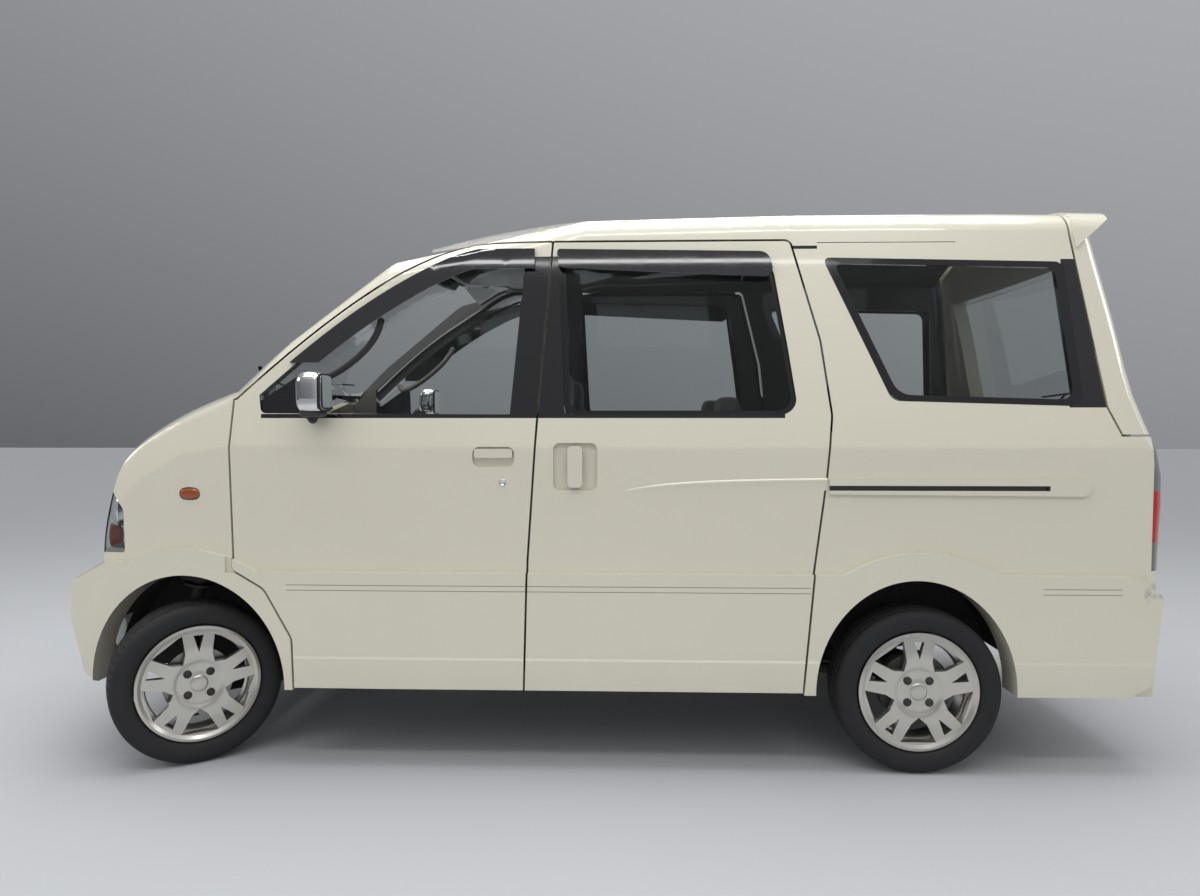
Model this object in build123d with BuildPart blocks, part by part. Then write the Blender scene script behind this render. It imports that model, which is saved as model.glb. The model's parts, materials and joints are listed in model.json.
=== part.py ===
"""Compact minivan: a one-box body with hinged front doors, sliding rear doors and a top-hinged tailgate.

Millimetres. +X points forward, +Y to the left, +Z up; the origin is on the floor under the middle of the car.
"""
from build123d import *
import os
from functools import lru_cache
from math import atan2, cos, degrees, radians, sin, sqrt, tan

os.makedirs("parts", exist_ok=True)

# Overall sizes
length = 3765.0
height = 1895.0
wheelbase = 2430.0
front_overhang = 510.0
body_half_width = 737.0
nose_x = length / 2
tail_x = -length / 2
axle_front_x = nose_x - front_overhang
axle_rear_x = axle_front_x - wheelbase

# Heights of the body's main lines
sill_z = 282.0
cladding_z = 657.0
crease_z = 1066.0
belt_z = 1178.0
roof_seam_z = height - 138.0
floor_z = 440.0
floor_thickness = 22.0

# Sheet and wall thicknesses
shut_gap = 7.0
cladding_out = 20.0
door_wall = 95.0
frame_wall = 45.0
roof_wall = 36.0
skin_wall = 16.0
glass_wall = 5.0
glass_depth = 7.0
tumblehome = 0.16

# Wheels and tyres
tyre_radius = 270.0
tyre_width = 165.0
rim_radius = 195.0
wheel_y = 655.0
hub_radius = 68.0
lug_circle = 50.0
lug_count = 4
spoke_pairs = 5
rest_steer = 34.25
front_arch = (338.0, 371.0)
rear_arch = (323.0, 370.0)
flare_radius = 460.0
front_well_y = 412.0
rear_well_y = 500.0

# Where the doors meet, along the car
door_front_x = axle_front_x - 163.0
b_pillar_x = axle_front_x - 1180.0
c_pillar_x = axle_rear_x + 315.0
gate_seam_x = tail_x + 187.0
header_x = axle_front_x - 735.0
cowl_x = axle_front_x - 56.0


def superellipse_drop(y, reach, power, depth):
    """How far a bowed surface has fallen back at a distance y from the centre line."""
    return depth * (1 - (1 - (abs(y) / reach) ** power) ** (1 / power))


def bow(y):
    return superellipse_drop(y, body_half_width + 53, 2.4, 300.0)


def crown(y):
    return superellipse_drop(y, body_half_width + 53, 2.3, 190.0)


def top_points(y, inset=0.0):
    """Side-view points of nose, windscreen and roof in the plane Y = y."""
    f = bow(y)
    c = crown(y)
    return {
        "grille": (nose_x - 92 - inset - f, 700.0),
        "lamp": (nose_x - 131 - inset - f, 936.0 - 0.5 * inset - 0.1 * c),
        "bonnet_low": (nose_x - 158 - 0.8 * inset - f, 1014.0 - 0.6 * inset - 0.2 * c),
        "bonnet_high": (axle_front_x + 229 - 0.5 * inset - f, 1142.0 - 0.9 * inset - 0.4 * c),
        "cowl": (cowl_x - 0.7 * inset - f, belt_z + 101 - 0.75 * inset - 0.4 * c),
        "header": (header_x - 0.5 * inset - f, height - 106 - 0.9 * inset - 0.6 * c),
        "brow": (header_x - 230 - 0.3 * inset - 0.5 * f, height - 40 - inset - 0.8 * c),
        "roof_front": (header_x - 640, height - 12 - inset - c),
        "roof_rear": (tail_x - 150, height - 12 - inset - c),
    }


def top_profile(y, inset=0.0, low=150.0):
    p = top_points(y, inset)
    nose_slope, bonnet_slope = (-0.02, 1), (-0.93, 0.37)
    cowl_slope, header_slope = (-0.73, 0.68), (-0.91, 0.42)
    with BuildSketch(Plane.XZ.offset(-y)) as profile:
        with BuildLine():
            Line((p["grille"][0], low), p["grille"])
            Spline(
                p["grille"], p["lamp"], p["bonnet_low"], p["bonnet_high"], p["cowl"],
                tangents=[nose_slope, bonnet_slope],
            )
            Spline(p["cowl"], p["header"], tangents=[cowl_slope, header_slope])
            Spline(p["header"], p["brow"], p["roof_front"], tangents=[header_slope, (-1, 0.03)])
            Spline(p["roof_front"], p["roof_rear"], tangents=[(-1, 0.03), (-1, -0.03)])
            Line(p["roof_rear"], (p["roof_rear"][0], low))
            Line((p["roof_rear"][0], low), (p["grille"][0], low))
        make_face()
    return profile.sketch


@lru_cache
def top_volume(inset=0.0):
    """Everything under the nose, windscreen and roof surface."""
    stations = [side * y for side in (-1, 1) for y in (420.0, 640.0, 740.0, 780.0)] + [0.0]
    with BuildPart() as volume:
        for y in sorted(stations):
            add(top_profile(y, inset))
        loft()
    return volume.part


def plan_scale(x):
    """The body's half width at a place along the car, as a share of its widest."""
    if x > axle_front_x - 400:
        return 1 - 0.10 * ((x - axle_front_x + 400) / (front_overhang + 440)) ** 2
    return 1 - 0.027 * (max(0.0, axle_rear_x + 200 - x) / (length / 2)) ** 1.3


def side_section(x, corner_z, inset):
    """Cross-section with tumblehome above the crease and a rounded cant rail."""
    w = body_half_width * plan_scale(x) - inset
    top = corner_z - inset
    crease = min(crease_z, top - 150)
    corner_y = w - tumblehome * (top - crease)
    peak = top + corner_y * tan(radians(18))
    half = [(w - 12, 150.0), (w, crease), (corner_y, top)]
    with BuildSketch(Plane.YZ.offset(x)) as section:
        with BuildLine():
            Polyline(*half, (0.0, peak), *[(-y, z) for y, z in reversed(half)], close=True)
        make_face()
        fillet([v for v in section.vertices() if abs(v.Y - crease) < 1], 100)
        fillet([v for v in section.vertices() if abs(v.Y - top) < 1], 85)
    return section.sketch


@lru_cache
def side_volume(inset=0.0):
    """Everything between the two body sides, under cant rails that follow the roof line."""
    rail = top_profile(body_half_width - 127).edges().filter_by(GeomType.BSPLINE)
    steps = [0.0, 0.2, 0.4, 0.6, 0.8, 1.0]
    along = {round((edge @ t).X): (edge @ t).Z - 5.0 for edge in rail for t in steps}
    along = {x: z for x, z in along.items() if z > 990}
    along[round(nose_x + 60)] = 900.0
    with BuildPart() as volume:
        for x in sorted(along):
            add(side_section(x, along[x], inset))
        loft(ruled=True)
    return volume.part


def plan_section(z, rear_x, inset):
    """Plan view at one height, with the rounded rear corner."""
    rear_y = body_half_width * plan_scale(rear_x) + 8 - inset
    if z > crease_z:
        rear_y -= tumblehome * (z - crease_z)
    x = rear_x + inset
    with BuildSketch(Plane.XY.offset(z)) as section:
        with BuildLine():
            Line((nose_x + 100, rear_y + 60), (x + 14, rear_y))
            ThreePointArc((x + 14, rear_y), (x, 0), (x + 14, -rear_y))
            Line((x + 14, -rear_y), (nose_x + 100, -rear_y - 60))
            Line((nose_x + 100, -rear_y - 60), (nose_x + 100, rear_y + 60))
        make_face()
        fillet([v for v in section.vertices() if v.X < 0], 85)
    return section.sketch


def tail_line():
    """Side view of the tailgate on the centre line, from bottom to top."""
    with BuildLine(Plane.XZ) as line:
        Line((tail_x + 34, 100), (tail_x + 34, 700))
        Spline(
            (tail_x + 34, 700), (tail_x + 42, crease_z - 10), (tail_x + 92, belt_z + 10),
            (tail_x + 146, belt_z + 260), (tail_x + 200, height - 195), (tail_x + 262, height + 60),
            tangents=[(0, 1), (0.3, 1)],
        )
    return line.line


@lru_cache
def plan_volume(inset=0.0):
    """Everything ahead of the tailgate surface."""
    low, high = tail_line().edges().sort_by(Axis.Z)
    with BuildPart() as volume:
        add(plan_section(100.0, tail_x + 34, inset))
        for t in [n / 14 for n in range(15)]:
            add(plan_section((high @ t).Z, (high @ t).X, inset))
        loft(ruled=True)
    return volume.part


def outline_prism(points, y0, y1):
    """Side-view outline, given as (x, z, corner radius), made solid from Y = y0 to Y = y1."""
    with BuildPart() as prism:
        with BuildSketch(Plane.XZ.offset(-y1)) as outline:
            with BuildLine():
                Polyline(*[(x, z) for x, z, _ in points], close=True)
            make_face()
            for x, z, radius in points:
                if radius:
                    fillet(outline.vertices().sort_by_distance((x, z))[0], radius)
        extrude(amount=y1 - y0)
    return prism.part


def plan_prism(points, z0, z1):
    """Plan-view outline, given as (x, y, corner radius), made solid from Z = z0 to Z = z1."""
    with BuildPart() as prism:
        with BuildSketch(Plane.XY.offset(z0)) as outline:
            with BuildLine():
                Polyline(*[(x, y) for x, y, _ in points], close=True)
            make_face()
            for x, y, radius in points:
                if radius:
                    fillet(outline.vertices().sort_by_distance((x, y, z0))[0], radius)
        extrude(amount=z1 - z0)
    return prism.part


def block(x0, x1, y0, y1, z0, z1):
    with BuildPart() as box:
        with Locations(((x0 + x1) / 2, (y0 + y1) / 2, (z0 + z1) / 2)):
            Box(x1 - x0, y1 - y0, z1 - z0)
    return box.part


def cylinder_y(x, z, radius, y0, y1):
    """Round bar across the car."""
    with BuildPart() as bar:
        with BuildSketch(Plane.XZ.offset(-y1)):
            with Locations((x, z)):
                Circle(radius)
        extrude(amount=y1 - y0)
    return bar.part


def arch_cut(axle_x, half_width, rise, y0, y1):
    """Opening over a wheel, open to the floor."""
    with BuildPart() as cut:
        with BuildSketch(Plane.XZ.offset(-y1)):
            with Locations((axle_x, tyre_radius)):
                Ellipse(half_width, rise)
            with Locations((axle_x, tyre_radius / 2 - 50)):
                Rectangle(2 * half_width, tyre_radius + 100)
        extrude(amount=y1 - y0)
    return cut.part


def cladding_profile(y, inset=0.0):
    """Side view of both bumpers and the lower cladding in the plane Y = y."""
    g = 0.78 * bow(y) + inset
    r = 0.35 * bow(y) + inset
    points = [
        (nose_x - 115 - g, 235.0), (nose_x - 45 - g, 300.0), (nose_x - g, 480.0), (nose_x - 3 - g, 612.0),
        (nose_x - 120 - g, 678.0), (axle_front_x + 120, 770.0), (axle_rear_x - 150, 770.0),
        (tail_x + 98 + r, 655.0), (tail_x + r, 594.0), (tail_x + 30 + r, 303.0), (tail_x + 150 + r, 235.0),
    ]
    with BuildSketch(Plane.XZ.offset(-y)) as profile:
        with BuildLine():
            Polyline(*points, close=True)
        make_face()
        for x, z in (points[1], points[2], points[3], points[8]):
            fillet(profile.vertices().sort_by_distance((x, z))[0], 30)
    return profile.sketch


def cladding_volume():
    """Bumpers and cladding before their top edge and wheel openings are cut."""
    stations = [side * y for side in (-1, 1) for y in (300.0, 500.0, 620.0, 700.0, 745.0, 780.0)] + [0.0]
    with BuildPart() as volume:
        for y in sorted(stations):
            add(cladding_profile(y))
        loft(ruled=True)
        add(side_volume(-cladding_out), mode=Mode.INTERSECT)
        add(cladding_band(), mode=Mode.INTERSECT)
    return volume.part


def cladding_band():
    """Side view of the cladding: a level top edge that rises over each wheel."""
    with BuildPart() as band:
        with BuildSketch(Plane.XZ.offset(-1000)) as outline:
            with Locations(((nose_x + tail_x) / 2, cladding_z / 2)):
                Rectangle(length + 200, cladding_z)
            for axle_x in (axle_front_x, axle_rear_x):
                with Locations((axle_x, tyre_radius)):
                    Circle(flare_radius)
            with Locations((nose_x - 60, 640)):
                Rectangle(2 * (nose_x - 60 - axle_front_x) - 420, 90)
        extrude(amount=2000)
    return band.part


def finish(name, part):
    """Writes one named piece."""
    part.label = name
    export_step(part, f"parts/{name}.step")
    print(name, len(part.solids()), round(part.volume / 1000), "cm3", "" if part.is_valid else "INVALID")


def piece_of(source, *keep, drop=()):
    """The part of a source inside every kept space and outside every dropped one."""
    with BuildPart() as piece:
        add(source)
        for space in keep:
            add(space, mode=Mode.INTERSECT)
        for space in drop:
            add(space, mode=Mode.SUBTRACT)
    return piece.part


def both(piece):
    return [piece, mirror(piece, about=Plane.XZ)]


def joined(*pieces):
    with BuildPart() as whole:
        for piece in pieces:
            add(piece)
    return whole.part


def rod(start, end, radius):
    """Round bar from one point to another."""
    run = Vector(*end) - Vector(*start)
    with BuildPart() as bar:
        with BuildSketch(Plane(origin=start, z_dir=run)):
            Circle(radius)
        extrude(amount=run.length)
    return bar.part


def sheet(points, thickness, y0, y1, radius):
    """Bent sheet across the car from a side-view centre line."""
    with BuildPart() as bent:
        with BuildSketch(Plane.XZ.offset(-y1)):
            with BuildLine():
                FilletPolyline(*points, radius=radius)
            trace(line_width=thickness)
        extrude(amount=y1 - y0)
    return bent.part


def inner_plan(gap, z0, z1):
    """Plan of the space between the two side walls, below the crease."""
    stations = [(x, body_half_width * plan_scale(x) - door_wall - gap) for x in (
        tail_x - 50, axle_rear_x - 400, axle_rear_x + 200, axle_front_x - 400, axle_front_x, nose_x)]
    return plan_prism([(x, y, 0) for x, y in stations] + [(x, -y, 0) for x, y in reversed(stations)], z0, z1)


# ------------------------------------------------------------------ master shapes
with BuildPart() as upper_body:
    add(top_volume())
    add(side_volume(), mode=Mode.INTERSECT)
    add(plan_volume(), mode=Mode.INTERSECT)

with BuildPart() as whole_body:
    add(upper_body.part)
    add(cladding_volume())
    add(block(tail_x - 50, nose_x + 50, -900, 900, 100, 262), mode=Mode.SUBTRACT)

with BuildPart() as left_half:
    add(whole_body.part)
    add(block(tail_x - 50, nose_x + 50, -900, 0, 0, 2100), mode=Mode.SUBTRACT)


# ------------------------------------------------------------------ where the panels meet
header_profile_y = 650.0
a_pillar_strip = 30.0
screen_flange = 26.0
lamp_inner_y = 372.0
lamp_low_z, lamp_high_z = 712.0, 948.0
lamp_rear_x = nose_x - 296
bumper_seam_x = axle_front_x + 238
bumper_top_z = 704.0
grille_high_z = 872.0
fender_wall_z = 770.0
bonnet_rear_x = cowl_x + 66
firewall_x = axle_front_x - 150
gate_low_z = 668.0
gate_lamp_z = 1108.0
gate_half_y = 566.0
gate_depth = 62.0
roof_half_y = 545.0
roof_rear_x = tail_x + 335
lamp_seam_x = tail_x + 181

front_door_points = [
    (door_front_x - 5, roof_seam_z, 0), (door_front_x - 5, belt_z + 48, 0), (door_front_x + 3, crease_z, 60),
    (door_front_x - 5, cladding_z + 6, 20), (axle_front_x - 276, 599.0, 60), (axle_front_x - 367, 434.0, 60),
    (axle_front_x - 375, 100.0, 0), (b_pillar_x + 46, 100.0, 0), (b_pillar_x + 29, 700.0, 0),
    (b_pillar_x - 3, belt_z - 10, 0), (b_pillar_x - 48, roof_seam_z, 8),
]
sliding_door_points = [
    (b_pillar_x - 48, roof_seam_z, 8), (b_pillar_x - 3, belt_z - 10, 0), (b_pillar_x + 29, 700.0, 0),
    (b_pillar_x + 46, 100.0, 0), (c_pillar_x + 78, 100.0, 0), (c_pillar_x + 30, 662.0, 0),
    (c_pillar_x - 8, 963.0, 120), (c_pillar_x - 27, belt_z - 5, 120), (c_pillar_x + 5, 1419.0, 0),
    (c_pillar_x + 97, roof_seam_z, 25),
]
front_window_points = [
    (door_front_x - 20, roof_seam_z - 34, 0), (door_front_x - 99, belt_z + 2, 20), (b_pillar_x + 88, belt_z - 2, 12),
    (b_pillar_x + 42, roof_seam_z - 34, 30),
]
sliding_window_points = [
    (b_pillar_x - 66, roof_seam_z - 42, 14), (b_pillar_x - 92, belt_z - 2, 14), (c_pillar_x + 80, belt_z - 2, 50),
    (c_pillar_x + 112, 1400.0, 300), (c_pillar_x + 160, roof_seam_z - 58, 80),
]
quarter_window_points = [
    (c_pillar_x - 8, roof_seam_z - 60, 22), (c_pillar_x - 222, belt_z + 42, 40), (tail_x + 305, belt_z + 24, 40),
    (tail_x + 345, roof_seam_z - 78, 30),
]


def offset_outline(points, amount, y0=250.0, y1=900.0, under_screen=False):
    """Side-view outline grown or shrunk by an even amount and made solid across the left half."""
    with BuildPart() as prism:
        with BuildSketch(Plane.XZ.offset(-y1)) as outline:
            with BuildLine():
                Polyline(*[(x, z) for x, z, _ in points], close=True)
            make_face()
            for x, z, radius in points:
                if radius:
                    fillet(outline.vertices().sort_by_distance((x, z))[0], radius)
            if amount:
                offset(amount=amount, kind=Kind.INTERSECTION)
            if under_screen is not False:
                add(top_profile_local(header_profile_y, under_screen), mode=Mode.INTERSECT)
        extrude(amount=y1 - y0)
    return prism.part


def top_profile_local(y, inset):
    """The same side view as top_profile, brought back to its plane's own origin."""
    return Plane.XZ.offset(-y).to_local_coords(top_profile(y, inset))


def front_door_prism(amount):
    return offset_outline(front_door_points, amount, under_screen=a_pillar_strip - amount)


def sliding_door_prism(amount):
    return offset_outline(sliding_door_points, amount)


# Inside shapes that make the shell hollow
upper_inner = side_volume(frame_wall)
lower_inner = side_volume(door_wall)
roof_inner = top_volume(roof_wall)
with BuildPart() as cabin:
    add(upper_inner)
    add(block(tail_x - 50, nose_x + 80, -900, 900, 0, belt_z - 12), mode=Mode.SUBTRACT)
    with BuildPart(mode=Mode.PRIVATE) as below_belt:
        add(lower_inner)
        add(block(tail_x - 70, nose_x + 80, -900, 900, belt_z - 11.9, 2300), mode=Mode.SUBTRACT)
    add(below_belt.part)
    add(roof_inner, mode=Mode.INTERSECT)
    add(plan_volume(gate_depth), mode=Mode.INTERSECT)
    add(block(tail_x - 50, firewall_x, -900, 900, 0, 2100), mode=Mode.INTERSECT)

with BuildPart() as front_bay:
    add(side_volume(skin_wall))
    add(block(tail_x - 90, nose_x + 90, -900, 900, 0, fender_wall_z), mode=Mode.SUBTRACT)
    with BuildPart(mode=Mode.PRIVATE) as below_fender:
        add(lower_inner)
        add(block(tail_x - 90, nose_x + 90, -900, 900, fender_wall_z + 0.1, 2300), mode=Mode.SUBTRACT)
    add(below_fender.part)
    add(top_volume(skin_wall + 2), mode=Mode.INTERSECT)
    add(block(firewall_x - 0.1, nose_x + 50, -900, 900, 0, 2100), mode=Mode.INTERSECT)

with BuildPart() as wheel_openings:
    for side in (-1, 1):
        y0, y1 = sorted((side * front_well_y, side * 950))
        add(arch_cut(axle_front_x - 3, *front_arch, y0, y1))
        y0, y1 = sorted((side * rear_well_y, side * 950))
        add(arch_cut(axle_rear_x + 15, *rear_arch, y0, y1))

left_space = block(tail_x - 80, nose_x + 80, 0, 950, 0, 2200)

# ------------------------------------------------------------------ left-hand doors
with BuildPart() as door_skin_space:
    add(left_half.part)
    add(wheel_openings.part, mode=Mode.SUBTRACT)
    add(block(tail_x, nose_x, 0, 900, 100, sill_z - 12), mode=Mode.SUBTRACT)


def door_solid(prism_of):
    """Outer flange and skin, with a deeper and smaller inner box behind them."""
    with BuildPart() as door:
        add(door_skin_space.part)
        add(prism_of(-shut_gap / 2), mode=Mode.INTERSECT)
        add(side_volume(30), mode=Mode.SUBTRACT)
    with BuildPart() as inner:
        add(door_skin_space.part)
        add(side_volume(28), mode=Mode.INTERSECT)
        add(prism_of(-22), mode=Mode.INTERSECT)
        add(cabin.part, mode=Mode.SUBTRACT)
    return door.part.fuse(inner.part)


front_door = door_solid(front_door_prism)
front_door = front_door - offset_outline(front_window_points, 0, under_screen=a_pillar_strip + 42)
sliding_door = door_solid(sliding_door_prism) - offset_outline(sliding_window_points, 0)

# ------------------------------------------------------------------ fixed outer shell
with BuildPart() as shell:
    add(whole_body.part)
    add(cabin.part, mode=Mode.SUBTRACT)
    add(front_bay.part, mode=Mode.SUBTRACT)
    add(wheel_openings.part, mode=Mode.SUBTRACT)

gate_line = [
    (tail_x - 80, gate_low_z, 0), (tail_x + 190, gate_low_z, 0), (tail_x + 190, gate_lamp_z, 30),
    (tail_x + 232, belt_z + 20, 60), (tail_x + 318, roof_seam_z + 10, 0), (roof_rear_x, height + 60, 0),
    (tail_x - 80, height + 60, 0),
]


def gate_prism(amount):
    """Tailgate outline: wide above the lamps, narrow between them."""
    with BuildPart() as prism:
        add(offset_outline(gate_line, amount, -950, 950))
        half = gate_half_y + amount
        for side in (-1, 1):
            y0, y1 = sorted((side * half, side * 950))
            add(block(tail_x - 90, tail_x + 260, y0, y1, 500, gate_lamp_z - amount), mode=Mode.SUBTRACT)
    return prism.part


with BuildPart() as windscreen_space:
    with BuildSketch(Plane.XY.offset(belt_z - 20)) as outline:
        with BuildLine():
            ThreePointArc((cowl_x - bow(610) + 6, 640), (cowl_x + 6, 0), (cowl_x - bow(610) + 6, -640))
            Line((cowl_x - bow(610) + 6, -640), (header_x - 70, -560))
            ThreePointArc((header_x - 70, -560), (header_x + 6, 0), (header_x - 70, 560))
            Line((header_x - 70, 560), (cowl_x - bow(610) + 6, 640))
        make_face()
        fillet(outline.vertices(), 40)
    extrude(amount=900)

with BuildPart() as windscreen:
    add(top_volume(0))
    add(top_volume(glass_wall + 1), mode=Mode.SUBTRACT)
    add(windscreen_space.part, mode=Mode.INTERSECT)
    add(side_volume(20), mode=Mode.INTERSECT)


def bonnet_space(amount):
    """Plan of the bonnet: curved along the windscreen, tapering towards the nose."""
    side_x = bonnet_rear_x - bow(610)
    with BuildPart() as space:
        with BuildSketch(Plane.XY.offset(lamp_high_z + 6 - amount)) as outline:
            with BuildLine():
                ThreePointArc((side_x, 602), (bonnet_rear_x, 0), (side_x, -602))
                Polyline((side_x, -602), (nose_x - 230, -548), (nose_x + 60, -500), (nose_x + 60, 500),
                         (nose_x - 230, 548), (side_x, 602))
            make_face()
            fillet(outline.vertices().group_by(Axis.X)[0], 30)
            if amount:
                offset(amount=amount, kind=Kind.INTERSECTION)
        extrude(amount=600)
        mouth = lamp_inner_y - 14 + amount
        add(block(nose_x - 330, nose_x + 60, -mouth, mouth, grille_high_z + 8 - amount, lamp_high_z + 20))
    return space.part


with BuildPart() as lamp_space:
    add(outline_prism([
        (lamp_rear_x, lamp_low_z, 10), (lamp_rear_x + 2, lamp_high_z - 90, 40), (lamp_rear_x + 66, lamp_high_z, 30),
        (nose_x + 60, lamp_high_z, 0), (nose_x + 60, lamp_low_z, 0),
    ], lamp_inner_y, 900))

bumper_line = [
    (bumper_seam_x, 100.0, 0), (bumper_seam_x, cladding_z + 12, 0), (bumper_seam_x + 60, bumper_top_z, 0),
    (nose_x + 60, bumper_top_z, 0), (nose_x + 60, 100.0, 0),
]
rear_bumper_line = [
    (tail_x - 60, 100.0, 0), (tail_x - 60, gate_low_z - 9, 0), (tail_x + 185, gate_low_z - 9, 0), (tail_x + 185, 100.0, 0),
]

# Bonnet, tailgate, front bumper and lamps come from the whole body; each is hollow behind its skin
with BuildPart() as bonnet:
    add(shell.part)
    add(bonnet_space(-shut_gap / 2), mode=Mode.INTERSECT)
with BuildPart() as tailgate_left:
    add(left_half.part)
    add(gate_prism(-shut_gap / 2), mode=Mode.INTERSECT)
    add(cabin.part, mode=Mode.SUBTRACT)
    add(block(-2000, 2000, -900, 900, 0, gate_low_z + 4), mode=Mode.SUBTRACT)
with BuildPart() as fixed_left:
    add(shell.part)
    add(left_space, mode=Mode.INTERSECT)
    for opening in (front_door_prism(shut_gap / 2), sliding_door_prism(shut_gap / 2)):
        add(opening, mode=Mode.SUBTRACT)
    add(gate_prism(shut_gap / 2), mode=Mode.SUBTRACT)
    add(bonnet_space(shut_gap / 2), mode=Mode.SUBTRACT)
    add(windscreen_space.part, mode=Mode.SUBTRACT)
    add(lamp_space.part, mode=Mode.SUBTRACT)
bumper_space = outline_prism(bumper_line, -950, 950)
rear_bumper_space = outline_prism(rear_bumper_line, -950, 950)
grille_half = lamp_inner_y - 14
grille_space = block(nose_x - 330, nose_x + 60, -grille_half, grille_half, bumper_top_z, grille_high_z + 2)
roof_space = block(roof_rear_x + shut_gap / 2, header_x + 20, -roof_half_y, roof_half_y, roof_seam_z, height + 100)
cowl_strip = plan_prism([
    (cowl_x - 130, -602, 0), (cowl_x - 130, 602, 0), (bonnet_rear_x + 4, 602, 0), (bonnet_rear_x + 4, -602, 0),
], belt_z - 120, belt_z + 200)

front_bumper_half = piece_of(fixed_left.part, bumper_space)
rear_bumper_half = piece_of(fixed_left.part, rear_bumper_space)
roof_half = piece_of(fixed_left.part, roof_space)
fender_space = outline_prism([
    (door_front_x - 380, 0.0, 0), (door_front_x - 380, 600.0, 0), (door_front_x - 90, cladding_z + 12, 0),
    (door_front_x - 20, cladding_z + 40, 0), (door_front_x + 3, crease_z, 0), (door_front_x - 2, belt_z + 62, 0),
    (nose_x + 80, belt_z + 62, 0), (nose_x + 80, 0, 0)], -10, 950)
fender = piece_of(fixed_left.part, fender_space, drop=(bumper_space, grille_space, cowl_strip))
roof_edge = block(
    roof_rear_x - 30, roof_rear_x + shut_gap / 2, -roof_half_y, roof_half_y, roof_seam_z, height + 100)
fender = fender - block(door_front_x - 20, door_front_x + 16, body_half_width - 2, 800, cladding_z - 4, cladding_z + 52)
body_side = piece_of(
    fixed_left.part,
    drop=(fender_space, roof_space, roof_edge, rear_bumper_space, bumper_space, grille_space, cowl_strip),
)

# ------------------------------------------------------------------ glass, grille and lamps
door_glass = piece_of(
    side_volume(glass_depth + 6),
    offset_outline(front_window_points, -0.3, under_screen=a_pillar_strip + 42.3), left_space,
    drop=(side_volume(glass_depth + 6 + glass_wall),),
)
sliding_glass = piece_of(
    side_volume(glass_depth + 6), offset_outline(sliding_window_points, -0.3), left_space,
    drop=(side_volume(glass_depth + 6 + glass_wall),),
)
quarter_hole = offset_outline(quarter_window_points, -14)
quarter_seat = piece_of(offset_outline(quarter_window_points, 0.3), left_space, drop=(side_volume(glass_wall + 1),))
quarter_glass = piece_of(
    side_volume(0.5), offset_outline(quarter_window_points, 0), left_space, drop=(side_volume(glass_wall + 0.7),),
)
body_side = body_side - quarter_seat - quarter_hole
grille = piece_of(shell.part, grille_space)
for z in (bumper_top_z + 38, bumper_top_z + 84, bumper_top_z + 130):
    grille = grille - block(nose_x - 400, nose_x + 60, -grille_half + 20, grille_half - 20, z - 15, z + 15)
lamp_gap = 2.0
lamp_lens = piece_of(whole_body.part, lamp_space.part, left_space,
                     drop=(joined(top_volume(6) & side_volume(6)),))
gate_glass_hole = block(tail_x, tail_x + 420, -520, 520, belt_z + 40, roof_seam_z - 70)
tailgate = joined(*both(tailgate_left.part)) - gate_glass_hole
gate_glass = piece_of(plan_volume(0.5), gate_prism(-30),
                      block(tail_x, tail_x + 420, -519.7, 519.7, belt_z + 40.3, roof_seam_z - 70.3),
                      drop=(plan_volume(glass_wall + 0.5),))

# Tail lamps stand on the body side beside the tailgate
tail_lamp_space = offset_outline([
    (tail_x - 60, gate_low_z + 4, 0), (tail_x + 92, gate_low_z + 4, 0), (tail_x + 92, gate_lamp_z - 14, 10),
    (tail_x - 60, gate_lamp_z - 14, 0)], 0, gate_half_y + 10, 900)
tail_lamp = piece_of(body_side, tail_lamp_space)
body_side = body_side - tail_lamp_space

# Fixed pillars behind the doors
def wall_slice(outer, inner, y0, points):
    """Slice of the body side between two depths, on the left, no nearer the middle than y0."""
    return piece_of(side_volume(outer), outline_prism(points, y0, 900), drop=(side_volume(inner),))


pillar_y = 549.0
sill_top_z = 470.3
b_rear_x = b_pillar_x - 44
b_front_x = b_pillar_x + 46
b_post = joined(
    wall_slice(door_wall + 9, 160, 600, [
        (b_rear_x, sill_top_z, 0), (b_front_x + 50, sill_top_z, 0), (b_front_x, belt_z + 50, 0),
        (b_rear_x, belt_z + 50, 0)]),
    wall_slice(frame_wall + 9, 120, pillar_y, [
        (b_rear_x, belt_z + 2, 0), (b_front_x, belt_z + 2, 0), (b_front_x - 36, roof_seam_z + 36, 0),
        (b_rear_x - 40, roof_seam_z + 36, 0)]),
    block(b_rear_x - 40, b_front_x - 36, pillar_y, pillar_y + 15, roof_seam_z - 40, roof_seam_z + 80),
)
b_post = piece_of(b_post, top_volume(20))
a_post_front_x = firewall_x - 0.3
a_post = joined(
    piece_of(side_volume(door_wall + 9), outline_prism([
        (a_post_front_x, belt_z + 52, 0), (a_post_front_x, cladding_z, 0), (axle_front_x - 272, cladding_z, 0),
        (axle_front_x - 352, 560.0, 0), (axle_front_x - 372, sill_top_z, 0), (axle_front_x - 442, sill_top_z, 0),
        (axle_front_x - 292, 700.0, 0), (axle_front_x - 222, belt_z + 52, 0)], 590, 900)),
    block(door_front_x, a_post_front_x, 590, 660, belt_z + 64, belt_z + 80),
    wall_slice(frame_wall + 9, 140, 590, [
        (a_post_front_x, belt_z - 12, 0), (a_post_front_x, belt_z + 122, 0), (axle_front_x - 262, belt_z + 122, 0),
        (axle_front_x - 262, belt_z - 12, 0)]),
)
a_post = piece_of(a_post, top_volume(14), side_volume(10))
body_side = body_side + b_post + a_post

# Visors over the door windows
def skin_offset(outer, inner, *spaces, drop=()):
    return piece_of(side_volume(-outer), left_space, *spaces, drop=(side_volume(-inner), *drop))


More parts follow.
